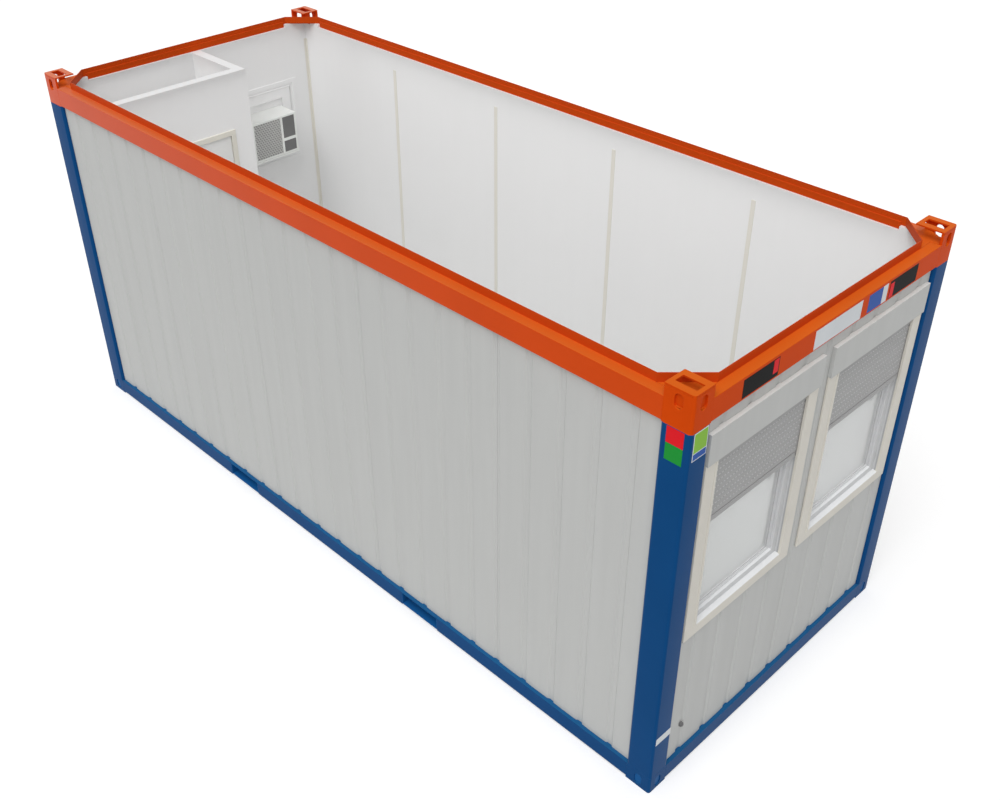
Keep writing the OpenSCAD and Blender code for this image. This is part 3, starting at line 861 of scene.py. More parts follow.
    def inner_plates(self) -> None:
        """Closes the upper fittings below, and the near one behind its side holes."""
        low, high, inner_x, inner_y = self.corner("top_fittings_right", "top")
        room_low, room_high = cad("floor_deck")
        rim, sheet, gap = self.rim, self.sheet, 0.001
        foot = cad("front_wall")[1].z + self.clearance
        back_foot, head = foot + 0.005, high.z - 0.0105
        front_y, side_x = low.y + self.head_recess, high.x - self.head_recess
        backs = (
            ((inner_x + rim, front_y, back_foot), (side_x - sheet - gap, front_y + sheet, head)),
            ((side_x - sheet, front_y, back_foot), (side_x, inner_y - rim, head)),
        )
        plates = [block("back", *corners, 0.001) for corners in backs]
        hand_over(joined("near_fitting_backs", plates), ORANGE)
        edge_y = room_low.y - gap
        floors = (
            ((inner_x + rim, low.y + rim, foot), (high.x - rim, edge_y, foot + sheet)),
            ((room_high.x + gap, edge_y, foot), (high.x - rim, inner_y - rim, foot + sheet)),
        )
        plates = [block("floor", *corners, 0.001) for corners in floors]
        self.at_corners("fitting_floors", plates, ORANGE)

    def foot_plates(self) -> None:
        """Sets plates behind the lower fittings' holes, as in a recessed lashing point, in a
        lighter blue that paints light into the holes.
        """
        low, high, inner_x, inner_y = self.corner("bottom_corner_fittings", "bottom")
        rim, sheet, foot, head = self.rim, self.sheet, 0.010, 0.118
        front_y, side_x = low.y + self.recess, high.x - self.recess
        boxes = (
            ((inner_x + rim, front_y, foot), (high.x - rim, front_y + sheet, head)),
            ((side_x - sheet, low.y + rim, foot), (side_x, inner_y - rim, head)),
        )
        plates = [block("plate", *corners, 0.001) for corners in boxes]
        self.at_corners("foot_plates", plates, BLUE_PAINTED_LIGHT)

    def corner_plates(self) -> None:
        """Carries the upper flanges round inside the fittings, and the lining up to them."""
        fitting_low, fitting_high, end_x, end_y = self.corner("top_fittings_right", "top")
        low, high = cad("roof_corner_gussets")
        room_low, room_high = cad("floor_deck")
        wall_top = cad("front_wall")[1].z
        under, top = low.z + self.clearance, low.z + self.sheet + self.clearance
        reach = (fitting_high.x - end_x - self.drum_gap, end_y - fitting_low.y - self.drum_gap)
        drum = rod("drum", (0, 0, wall_top + 0.003), (0, 0, top), 1.0, 64)
        move_mesh(drum, shift(end_x, end_y) @ Matrix.Diagonal((*reach, 1, 1)))
        start_x, start_y = high.x - self.corner_cut, low.y + self.corner_cut
        flat = block("flat", (start_x, low.y, under), (high.x, start_y, top - 0.0003))
        end = (end_x, end_y, 0)
        for part, planes in (
            (drum, ((end, (-1, 0, 0)), (end, (0, 1, 0)))),
            (flat, (((start_x, low.y, 0), (-1, 1, 0)),)),
        ):
            with editing(part):
                for place, normal in planes:
                    bpy.ops.mesh.select_all(action="SELECT")
                    bpy.ops.mesh.bisect(
                        plane_co=place, plane_no=normal, use_fill=True, clear_outer=True
                    )
        room = ((end_x - 0.1, room_low.y, wall_top - 0.01), (room_high.x, end_y + 0.1, under))
        pierce(drum, room)
        plates = [round_edges(part, 0.0005, 1) for part in (drum, flat)]
        self.at_corners("corner_plates", plates, ORANGE)
        head_x, head_y, head_top = high.x - self.band_cut, low.y + self.band_cut, under - 0.0002
        boxes = (
            ((head_x, low.y, wall_top), (high.x, room_low.y, head_top)),
            ((room_high.x, room_low.y, wall_top), (high.x, head_y, head_top)),
        )
        heads = [block("head", *corners, 0.0008) for corners in boxes]
        self.at_corners("lining_heads", heads, LINING)


# ---------------------------------------------------------------- walls


class Facing(Enum):
    """The way a wall looks, as its turn about the upright axis in degrees."""

    FRONT = 0
    RIGHT = 90
    BACK = 180
    LEFT = -90


@dataclass
class SandwichPanel:
    """The outer part of a sandwich panel, ribbed by shallow tapered grooves."""

    low: float
    high: float
    width: float = 1.165
    thickness: float = 0.050
    pitch: float = 0.236
    hollow_w: float = 0.150
    hollow_d: float = 0.0012
    groove_w: float = 0.052
    groove_floor_w: float = 0.028
    groove_d: float = 0.0085
    joint: float = 0.0012
    rounding: float = 0.0010

    def centres(self) -> list[float]:
        """Gives the middles of the grooves, those of the panel's edges included."""
        inner = range(1, int((self.width - self.pitch / 2) / self.pitch) + 1)
        places = [i * self.pitch for i in inner if i * self.pitch < self.width - 0.1]
        return [0.0, *places, self.width]

    def model(self, stretch_start: float = 0.0, stretch_end: float = 0.0) -> Object:
        """Models one panel with its outer face on Y = 0, looking towards -Y.

        Args:
            stretch_start: Extra length before the panel's start, without a groove.
            stretch_end: Extra length past its end, without a groove.

        Returns:
            The panel.
        """
        panel = block(
            "panel", (self.joint / 2, 0, self.low),
            (self.width - self.joint / 2, self.thickness, self.high),
        )
        widths = (self.hollow_w, self.groove_w, self.groove_floor_w)
        halves = [side * width / 2 for width in widths for side in SIDES]
        lines = [centre + half for centre in self.centres() for half in halves]
        with editing(panel):
            slice_along(0, [line for line in lines if 0.002 < line < self.width - 0.002])
            for width, depth in (
                (self.groove_w, self.hollow_d), (self.groove_floor_w, self.groove_d),
            ):
                push_faces(
                    panel,
                    lambda centre, normal: normal.y < -0.9 and self.in_groove(centre.x, width),
                    (0, depth, 0),
                )
            for way, end, length in ((-1, 0.0, stretch_start), (1, self.width, stretch_end)):
                push_faces(
                    panel,
                    lambda centre, normal: normal.x * way > 0.9 and abs(centre.x - end) < 0.01,
                    (way * length, 0, 0),
                )
        return round_edges(panel, self.rounding, 2, 30.0)

    def in_groove(self, x: float, width: float) -> bool:
        """Says whether a place along the panel lies within a groove's middle part."""
        return any(abs(x - centre) < width / 2 for centre in self.centres())


@dataclass
class PanelWall:
    """One wall: a row of sandwich panels outside and smooth lining sheets inside."""

    name: str
    facing: Facing
    nodes: tuple[str, ...]
    outer: float
    inner: float
    start: float
    count: int
    overrun: float = 0.0
    holes: Sequence[Box] = ()

    def build(self, panel: SandwichPanel) -> None:
        """Builds the wall's outer sheets and its lining, cut where it has openings.

        Args:
            panel: The panel that the wall is made of.
        """
        turn = Matrix.Rotation(math.radians(self.facing.value), 4, "Z")
        sheets, linings = [], []
        for index in range(self.count):
            before = self.overrun if index == 0 else 0.0
            after = self.overrun if index == self.count - 1 else 0.0
            place = turn @ shift(self.start + index * panel.width, -self.outer)
            sheets.append(move_mesh(panel.model(before, after), place))
            lining = block(
                "lining", (0.0001 - before, panel.thickness + 0.0005, panel.low),
                (panel.width - 0.0001 + after, self.outer - self.inner, panel.high),
            )
            with editing(lining):
                slice_along(2, [panel.low + 0.4, panel.high - 0.4])
            linings.append(move_mesh(round_edges(lining, 0.0002, 1), place))
        for suffix, parts, finish, slot, nodes in (
            ("sheets", sheets, PANEL, "grey_panel", self.nodes),
            ("lining", linings, LINING, "white_panel", ()),
        ):
            wall = pierce(joined(f"{self.name}_{suffix}", parts), *self.holes)
            hand_over(wall, finish, nodes=nodes)


@dataclass
class Walls:
    """The four outer walls, the floor and the strips that cover the lining's joints."""

    panels_long: int = 5
    panels_short: int = 2
    strip_w: float = 0.032
    strip_t: float = 0.004
    angle_leg: float = 0.022
    angle_t: float = 0.0025
    hole_side: float = 0.050
    hole_low: float = 0.045
    hole_top: float = 0.030
    entrance_lap: float = 0.020
    aircon_lap: float = 0.018

    def build(self) -> None:
        """Builds the walls, the floor and the trim."""
        low, high = cad("front_wall")
        end_low, end_high = cad("window_wall_back")
        panel = SandwichPanel(low.z, high.z)
        half_run = self.panels_long * panel.width / 2
        half_end = self.panels_short * panel.width / 2
        long_wall = (-low.y, -high.y, -half_run, self.panels_long, high.x - half_run)
        end_wall = (end_high.x, end_low.x, -half_end, self.panels_short, 0.0)
        for name, facing, nodes, sizes, holes in (
            ("front_wall", Facing.FRONT, ("front_wall",), long_wall, ()),
            ("back_wall", Facing.BACK, ("back_wall",), long_wall, ()),
            (
                "window_end", Facing.RIGHT, ("window_wall_front", "window_wall_back"),
                end_wall, self.window_holes(),
            ),
            (
                "door_end", Facing.LEFT, ("door_wall_front", "door_wall_back"),
                end_wall, self.door_end_holes(),
            ),
        ):
            PanelWall(name, facing, nodes, *sizes, holes).build(panel)
        floor = softened("floor_deck", 0.001)
        hand_over(floor, FLOORING, nodes=["floor_deck"])
        self.trim()

    def window_holes(self) -> list[Box]:
        """Gives the cuts for the two windows and their shutter boxes."""
        holes = []
        for side in FRONT_BACK:
            low, high = cad("window_frame_" + side)
            top = cad("shutter_box_" + side)[1].z - self.hole_top
            holes.append((
                (low.x - 0.02, low.y + self.hole_side, low.z + self.hole_low),
                (high.x + 0.02, high.y - self.hole_side, top),
            ))
        return holes

    def door_end_holes(self) -> list[Box]:
        """Gives the cuts for the entrance and for the air conditioner's surround."""
        door, surround = cad("entrance_frame"), cad("aircon_surround")
        holes = []
        for (low, high), lap, foot in (
            (door, self.entrance_lap, 0.0),
            (surround, self.aircon_lap, surround[0].z + self.aircon_lap),
        ):
            top = (high.x + 0.02, high.y - lap, high.z - lap)
            holes.append(((low.x - 0.02, low.y + lap, foot), top))
        return holes

    def trim(self) -> None:
        """Builds the cover strips on the linings' joints and the angles in the corners."""
        low, high = cad("cover_strips")
        half, back = self.strip_w / 2, high.y - self.strip_t
        strip = block("strip", (-half, back, low.z), (half, high.y, high.z), 0.0012)
        joints = range(self.panels_long - 1)
        places = [shift(x=SandwichPanel.width * (i - 1.5)) for i in joints]
        places += [place @ mirrored("Y") for place in places]
        parts = [spread("strips", strip, places)]
        side_y = cad("lobby_side_wall")[1].y
        for x, y, along_x, along_y in (
            (low.x, high.y, 1, -1), (high.x, high.y, -1, -1), (high.x, low.y, -1, 1),
            (low.x, side_y, 1, 1), (low.x, low.y, 1, 1),
        ):
            parts.append(self.angle(Vector((x, y, low.z)), along_x, along_y, high.z))
        hand_over(joined("lining_strips", parts), STRIP, nodes=["cover_strips"])

    def angle(self, corner: Vector, along_x: int, along_y: int, top: float) -> Object:
        """Models the angle strip in one corner of a room.

        Args:
            corner: Foot of the corner.
            along_x: The way its one leg runs, as the sign of X.
            along_y: The way its other leg runs, as the sign of Y.
            top: Height of its upper end.

        Returns:
            The strip.
        """
        legs = []
        for length_x, length_y in (
            (self.angle_leg, self.angle_t), (self.angle_t, self.angle_leg),
        ):
            xs = sorted((corner.x, corner.x + along_x * length_x))
            ys = sorted((corner.y, corner.y + along_y * length_y))
            legs.append(block("leg", (xs[0], ys[0], corner.z), (xs[1], ys[1], top), 0.0008))
        return joined("angle", legs)


# ---------------------------------------------------------------- windows


@dataclass
class WindowUnit:
    """A window with its casing, sash, glass, shutter and shutter box.

    The pieces are modelled once on the middle line, then copied to both windows.
    """

    clear: float = 0.402
    sill: float = 0.068
    head: float = 0.012
    face: float = 0.046
    ledge: float = 0.026
    back_rim: float = 0.0095
    seal_reach: float = 0.067
    handle_height: float = 0.69
    slat_pitch: float = 0.0365
    shutter_half: float = 0.4015
    lit_slot_pitch: float = 0.0265
    link_w: float = 0.0145

    def __post_init__(self) -> None:
        """Reads the windows' place and sizes from the CAD nodes."""
        low, high = cad("window_frame_back")
        self.offset, self.half_w = (low.y + high.y) / 2, (high.y - low.y) / 2
        self.low, self.box_low = low.z, cad("shutter_box_back")[0].z
        self.casing_back, self.casing_front = cad("window_wall_back")[1].x, high.x
        self.bottom, self.top = self.low + self.sill, self.box_low - self.head
        self.pane, self.curtain = cad("window_panes"), cad("shutter_curtains")

    def build(self) -> None:
        """Builds every piece of both windows."""
        for obj, finish, slot in (
            (self.casing(), CASING, "window_plastic"),
            (self.reveal(), SASH, "window_plastic"),
            (self.fixed_frame(), SASH, "window_plastic"),
            (self.sash(), SASH, "window_plastic"),
            (self.sill_slope(), SASH, "window_plastic"),
            (self.gasket(), SEAL, "handle_black"),
            (self.handle(), CASE_DARK, "handle_black"),
            (self.inner_trim(), LINING, "white_panel"),
            (self.slats(), SLATS, "shutter_slats"),
            (self.links(), SLOT_LIGHT_TABS, "shutter_slats"),
            (self.end_bar(), SLATS, "shutter_slats"),
        ):
            self.to_both(obj, finish)
        for side in FRONT_BACK:
            node = "shutter_box_" + side
            low, high = cad(node)
            filler = block(
                "filler", (self.casing_back - 0.007, low.y + 0.001, high.z - 0.024),
                (self.casing_back + 0.001, high.y - 0.001, high.z - 0.0005), 0.001,
            )
            box = joined("shutter_box_shape_" + side, [softened(node, 0.0018), filler])
            hand_over(box, PANEL, nodes=[node])
        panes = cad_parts["window_panes"]
        panes.data.materials.clear()
        panes.data.materials.append(GLASS.material())

    def to_both(self, obj: Object, finish: Finish) -> None:
        """Copies a piece to both windows and hands the copies over.

        Args:
            obj: The piece on the middle line, which is removed.
            finish: Its finish.
        """
        stands_for = {"window_casing": "window_frame_{}", "shutter_slats": "shutter_curtains"}
        node = stands_for.get(obj.name)
        for side, sign in zip(FRONT_BACK, SIDES):
            copy = twin(obj, f"{obj.name}_{side}", shift(y=sign * self.offset))
            hand_over(copy, finish, nodes=[node.format(side)] if node else [])
        bpy.data.objects.remove(obj)

    def rim(
        self, name: str, xs: Corner, outer: float, inner: float, rounding: float, segments: int = 2
    ) -> Object:
        """Models a frame in the reveal's opening, as wide on all four sides.

        Args:
            name: Name of the frame.
            xs: Its lowest and highest X.
            outer: How far inside the opening its outer edge lies.
            inner: How far inside the opening its inner edge lies.
            rounding: Width of its edges' rounding.
            segments: Number of steps across the rounding.

        Returns:
            The frame.
        """
        clear, bottom, top = self.clear, self.bottom, self.top
        return ring(
            name, (xs[0], outer - clear, bottom + outer), (xs[1], clear - outer, top - outer),
            (inner - clear, bottom + inner), (clear - inner, top - inner), rounding, segments,
        )

    def side_bars(
        self, name: str, low: Corner, high: Corner, rounding: float, segments: int = 2
    ) -> list[Object]:
        """Models an upright bar at each side of the opening.

        Args:
            name: Name of the bars.
            low: Lowest corner of the one at +Y, whose Y counts from the opening's edge.
            high: Its highest corner, counted in the same way.
            rounding: Width of the edges' rounding.
            segments: Number of steps across the rounding.

        Returns:
            The two bars.
        """
        bars = []
        for sign in SIDES:
            ys = sorted((sign * (self.clear + low[1]), sign * (self.clear + high[1])))
            corners = (low[0], ys[0], low[2]), (high[0], ys[1], high[2])
            bars.append(block(name, *corners, rounding, segments))
        return bars

    def casing(self) -> Object:
        """Models the outer casing with a guide lip along each side."""
        back, front = self.casing_back, self.casing_front
        face = ring(
            "window_casing", (back, -self.half_w, self.low), (front, self.half_w, self.box_low),
            (-self.clear, self.bottom), (self.clear, self.box_low + 0.01), 0.004, 3,
        )
        lips = self.side_bars(
            "lip", (back + 0.0005, -0.004, self.bottom - 0.006),
            (front + 0.003, 0.014, self.box_low), 0.0018,
        )
        return joined("window_casing", [face, *lips])

    def reveal(self) -> Object:
        """Models the liner in the wall, between the sash and the shutter's guides."""
        half = self.half_w - 0.051
        return ring(
            "window_reveal", (self.pane[0].x - 0.010, -half, self.low + 0.046),
            (self.curtain[0].x - 0.0005, half, self.box_low - 0.0005),
            (-self.clear, self.bottom), (self.clear, self.top), 0.0012,
        )

    def fixed_frame(self) -> Object:
        """Models the fixed frame that the sash closes in."""
        xs = (self.pane[0].x - self.back_rim, self.pane[1].x + self.ledge)
        return self.rim("window_fixed_frame", xs, 0.0, self.face, 0.0025, 3)

    def sash(self) -> Object:
        """Models the sash with its sloping glazing beads."""
        low, high = self.pane
        face, bead_d = self.face, 0.006
        body = self.rim("sash", (low.x - 0.006, high.x + 0.008), face, face + 0.0115, 0.0025, 3)
        bead = self.rim("bead", (high.x, high.x + bead_d), face + 0.008, face + 0.021, 0.0025)
        inner_bead = twin(bead, "bead", shift(x=low.x - high.x - bead_d))
        return joined("window_sash", [body, bead, inner_bead])

    def gasket(self) -> Object:
        """Models the thin seals between bead and glass and the fillers in the guide slots."""
        x, reach = self.pane[1].x, self.seal_reach
        seal = self.rim("window_gasket", (x, x + 0.0025), reach, reach + 0.003, 0.0008)
        back = self.curtain[0]
        fillers = self.side_bars(
            "filler", (back.x - 0.0008, 0.0012, self.bottom + 0.0005),
            (self.casing_back + 0.0008, 0.020, back.z - 0.001), 0.0005, 1,
        )
        return joined("window_gasket", [seal, *fillers])

    def sill_slope(self) -> Object:
        """Models the sill in the reveal, which falls towards the outside."""
        inner_x, outer_x = self.pane[1].x + self.ledge, self.casing_front - 0.001
        half, bottom = self.clear - 0.0005, self.bottom
        sill = block("window_sill", (inner_x, -half, bottom), (outer_x, half, bottom + 0.006))
        with editing(sill):
            slice_along(0, [outer_x - 0.012])
            push_faces(sill, lambda centre, normal: normal.x > 0.9)
            bpy.ops.transform.resize(value=(1, 1, 0.35), center_override=(outer_x, 0, bottom))
        return round_edges(sill, 0.001)

    def handle(self) -> Object:
        """Models the turning handle on the sash's room side."""
        x, y, z = self.pane[0].x - self.back_rim, self.clear - 0.043, self.low + self.handle_height
        plate = block(
            "plate", (x - 0.009, y - 0.014, z - 0.035), (x, y + 0.014, z + 0.035), 0.004, 3
        )
        neck = rod("neck", (x - 0.034, y, z), (x - 0.008, y, z), 0.008, 20, 0.0015)
        lever = block(
            "lever", (x - 0.044, y - 0.0095, z - 0.112), (x - 0.028, y + 0.0095, z + 0.012),
            0.005, 4,
        )
        return joined("window_handle", [plate, neck, lever])

    def inner_trim(self) -> Object:
        """Models the flat trim round the window and the shutter box's lid, on the room side."""
        x, half, width = self.pane[0].x - 0.010, self.half_w - 0.010, 0.047
        low, high, front = self.low + 0.006, self.box_low, x + 0.0075
        trim = ring(
            "trim", (x, -half, low), (front, half, high),
            (width - half, low + width), (half - width, high + 0.01), 0.002,
        )
        lid = block("lid", (x - 0.002, -half, high + 0.0015), (front, half, high + 0.176))
        with editing(lid):
            push_faces(lid, lambda centre, normal: normal.x < -0.9)
            bpy.ops.mesh.inset(thickness=0.022)
            bpy.ops.transform.translate(value=(0.0015, 0, 0))
        return joined("window_inner_trim", [trim, round_edges(lid, 0.0015)])

    def rows(self) -> list[Matrix]:
        """Gives the places of the slats below the box, seen from the lowest one."""
        low, high = self.curtain
        count = int((high.z - low.z - self.slat_pitch) / self.slat_pitch)
        return [shift(z=i * self.slat_pitch) for i in range(count)]

    def slats(self) -> Object:
        """Models the lowered shutter's arched slats, with clipped corners."""
        low, high = self.curtain
        front, half = high.x - 0.0005, self.shutter_half
        bottom, top = low.z + self.slat_pitch, low.z + 2 * self.slat_pitch - 0.0006
        slat = block("slat", (low.x, -half, bottom), (front, half, top))
        with editing(slat):
            shares = (0.12, 0.34, 0.62, 0.86)
            slice_along(2, [bottom + self.slat_pitch * share for share in shares])
            slice_along(1, [0.006 - half, half - 0.006])
            for level, depth, lift in ((bottom, 0.0020, 0.005), (top, 0.0024, -0.005)):
                for test, move in (
                    (lambda place: place.x > front - 1e-4, (-depth, 0, 0)),
                    (lambda place: abs(place.y) > half - 1e-4, (0, 0, lift)),
                ):
                    push_edges(
                        slat, lambda place: abs(place.z - level) < 1e-5 and test(place), move
                    )
        return spread("shutter_slats", round_edges(slat, 0.0006, 1, 50.0), self.rows())

    def links(self) -> Object:
        """Models pale tabs in the slots between the slats, whose colour paints the light that shows
        through the slots.
        """
        low, high = self.curtain
        half_w, half_h, level = self.link_w / 2, 0.0034, low.z + 2 * self.slat_pitch
        link = block(
            "link", (low.x + 0.003, -half_w, level - half_h),
            (high.x - 0.0002, half_w, level + half_h), 0.0008, 1,
        )
        reach = int((self.shutter_half - self.link_w) / self.lit_slot_pitch)
        places = [shift(y=i * self.lit_slot_pitch) for i in range(-reach, reach + 1)]
        return spread("shutter_slot_light", spread("row", link, places), self.rows())

    def end_bar(self) -> Object:
        """Models the shutter's bottom bar with its two grooves."""
        low, high = self.curtain
        half, top = self.shutter_half, low.z + self.slat_pitch - 0.002
        bar = block("shutter_bar", (low.x - 0.001, -half, low.z), (high.x + 0.001, half, top))
        levels = [low.z + (top - low.z) * share for share in (0.24, 0.30, 0.62, 0.68)]
        with editing(bar):
            slice_along(2, levels)
            for start, end in (levels[:2], levels[2:]):
                push_faces(
                    bar, lambda centre, normal: normal.x > 0.9 and start < centre.z < end,
                    (-0.003, 0, 0),
                )
        return round_edges(bar, 0.0008)


# ---------------------------------------------------------------- lobby and doors


@dataclass
class Lobby:
    """The lobby's two partitions."""

    rounding: float = 0.0015

    def build(self) -> None:
        """Builds the partitions as one smooth white piece, open at the door."""
        nodes = ("lobby_door_pier", "lobby_over_door", "lobby_corner_pier", "lobby_side_wall")
        pier_low, pier_high = cad("lobby_door_pier")
        over_low, over_high = cad("lobby_over_door")
        side_low, side_high = cad("lobby_side_wall")
        walls = block(
            "lobby_walls", (side_low.x, pier_low.y, pier_low.z),
            (pier_high.x, side_high.y, side_high.z),
        )
        lobby = (
            (side_low.x - 0.01, pier_low.y - 0.01, pier_low.z - 0.01),
            (pier_low.x, side_low.y, side_high.z + 0.01),
        )
        doorway = (
            (pier_low.x - 0.02, over_low.y, pier_low.z - 0.02),
            (pier_high.x + 0.02, over_high.y, over_low.z),
        )
        walls = round_edges(pierce(walls, lobby, doorway), self.rounding)
        hand_over(walls, LINING, nodes=nodes)


@dataclass
class DoorSet:
    """What both doors share: a stepped steel frame, a leaf and a pair of lever handles."""

    label: str
    body: str
    stop_side: int
    stop_depth: float = 0.030
    stop_lap: float = 0.014
    gap: float = 0.004

    def part(self, name: str) -> tuple[Vector, Vector]:
        """Gives the box of the door's frame, leaf or handles."""
        return cad(f"{self.label}_{name}")

    def leaf_box(self) -> tuple[Vector, Vector]:
        """Gives the leaf's panel without its hinges."""
        return self.part("leaf")

    def dress(self, obj: Object, finish: Finish, slot: str, moves: bool = False,
              nodes: Sequence[str] = ()) -> None:
        """Hands a piece over, on the leaf's body if it moves."""
        hand_over(obj, finish, self.body if moves else CABIN, nodes)

    def copy(self, name: str, rounding: float, finish: Finish, slot: str, moves: bool) -> None:
        """Hands over a copy of the door's frame, leaf or handles."""
        node = f"{self.label}_{name}"
        self.dress(softened(node, rounding), finish, slot, moves, [node])

    def build(self) -> None:
        """Builds the frame, stops, leaf and handles."""
        self.copy("frame", 0.0015, CREAM, "cream_steel", False)
        self.dress(self.stops(), CREAM, "cream_steel")
        self.copy("leaf", 0.0012, DOOR_SKIN, "door_laminate", True)
        self.copy("handles", 0.0012, BLACK, "handle_black", True)

    def stops(self) -> Object:
        """Models the rebate that the leaf closes against, with a step for the seal."""
        foot = self.part("frame")[0].z
        low, high = self.leaf_box()
        side, reach = self.stop_side, self.gap + 0.002
        face = low.x if side < 0 else high.x
        parts = []
        for lap, near, far in (
            (self.stop_lap, 0.008, self.stop_depth), (self.stop_lap / 2, 0.002, 0.0085),
        ):
            x_low, x_high = sorted((face + side * near, face + side * far))
            stop = block(
                "stop", (x_low, low.y - reach, foot), (x_high, high.y + reach, high.z + reach)
            )
            inset = self.gap - lap
            doorway = (
                (x_low - 0.01, low.y - inset, foot - 0.01),
                (x_high + 0.01, high.y + inset, high.z + inset),
            )
            parts.append(round_edges(pierce(stop, doorway), 0.0015))
        return joined(self.label + "_stops", parts)


@dataclass
class InnerDoor(DoorSet):
    """The hinged door between the lobby and the main room, with stops on the lobby side."""

    label: str = "inner_door"
    body: str = INNER_DOOR
    stop_side: int = -1
    hinge: tuple[float, float] = (-2.2805, -0.9005)
    hinge_heights: tuple[float, ...] = (0.350, 1.150, 1.850)
    hinge_span: float = 0.090
    hinge_edge: float = -0.8895
    pin_end: float = 0.004
    lip: float = 0.0028

    def leaf_box(self) -> tuple[Vector, Vector]:
        """Gives the leaf's panel without its hinges."""
        low, high = self.part("leaf")
        face = cad("lobby_door_pier")[1].x
        return Vector((low.x, self.hinge_edge, low.z)), Vector((face, high.y, high.z))

    def build(self) -> None:
        """Builds the door, then its hinge pins, lip, lock front and strike plate."""
        super().build()
        low, high = self.leaf_box()
        x, y = self.hinge
        spans = [(z - self.pin_end, z + self.hinge_span + self.pin_end) for z in self.hinge_heights]
        pins = [rod("pin", (x, y, foot), (x, y, top), 0.0045, 20, 0.001) for foot, top in spans]
        self.dress(joined("inner_hinge_pins", pins), STEEL, "handle_black")
        back, front = high.x - 0.006, high.x - 0.0003
        side, top = high.y + self.lip, high.z + self.lip
        lips = [
            block("lip", (back, high.y - 0.001, low.z), (front, side, top), 0.0005, 1),
            block("lip", (back, low.y + 0.004, high.z - 0.001), (front, high.y, top), 0.0005, 1),
        ]
        self.dress(joined("inner_door_lip", lips), DOOR_SKIN, "door_laminate", True)
        jamb = high.y + self.gap
        self.lock_plate("inner_lock_front", high.y - 0.0005, high.y + 0.0012, 0.105, True)
        self.lock_plate("inner_strike", jamb - 0.0012, jamb + 0.001, 0.060, False)

    def lock_plate(self, name: str, back: float, front: float, half_h: float, moves: bool) -> None:
        """Builds an upright plate with two screws, in the leaf's edge or in the jamb.

        Args:
            name: Name of the piece.
            back: Lowest Y.
            front: Highest Y.
            half_h: Half its height.
            moves: Whether it moves with the leaf.
        """
        low, high = self.leaf_box()
        handles_low, handles_high = self.part("handles")
        x, z = (low.x + high.x) / 2, (handles_low.z + handles_high.z) / 2
        parts = [block(name, (x - 0.010, back, z - half_h), (x + 0.010, front, z + half_h), 0.0005)]
        for end in SIDES:
            level = z + end * (half_h - 0.012)
            ends = (x, back - 0.0004, level), (x, front + 0.0004, level)
            parts.append(rod("screw", *ends, 0.004, 16, 0.0003))
        self.dress(joined(name, parts), STEEL, "handle_black", moves)


@dataclass
class Entrance(DoorSet):
    """The closed entrance door in the door end, with stops on the lobby side."""

    label: str = "entrance"
    body: str = CABIN
    stop_side: int = 1
    hinge_heights: tuple[float, ...] = (0.42, 1.20, 1.98)
    groove: tuple[float, float] = (0.006, 0.012)

    def build(self) -> None:
        """Builds the door, then its threshold and its hinges' knuckles."""
        super().build()
        low, high = self.leaf_box()
        frame_low, frame_high = self.part("frame")
        sill = block(
            "entrance_threshold", (low.x + 0.004, low.y - self.gap, frame_low.z),
            (frame_high.x, high.y + self.gap, low.z - 0.002),
        )
        start, end = (high.x + place for place in self.groove)
        with editing(sill):
            slice_along(0, [start, end])
            push_faces(
                sill, lambda centre, normal: normal.z > 0.9 and start < centre.x < end,
                (0, 0, -0.003),
            )
        self.dress(round_edges(sill, 0.0008), STEEL, "handle_black")
        y = high.y - 0.004
        hinges = [
            rod("hinge", (x, y, z - 0.035), (x, y, z + 0.035), 0.006, 20, 0.001)
            for z in self.hinge_heights
            for x in (high.x + 0.002, high.x + 0.018)
        ]
        self.dress(joined("entrance_hinges", hinges), STEEL, "handle_black")


# ---------------------------------------------------------------- air conditioner


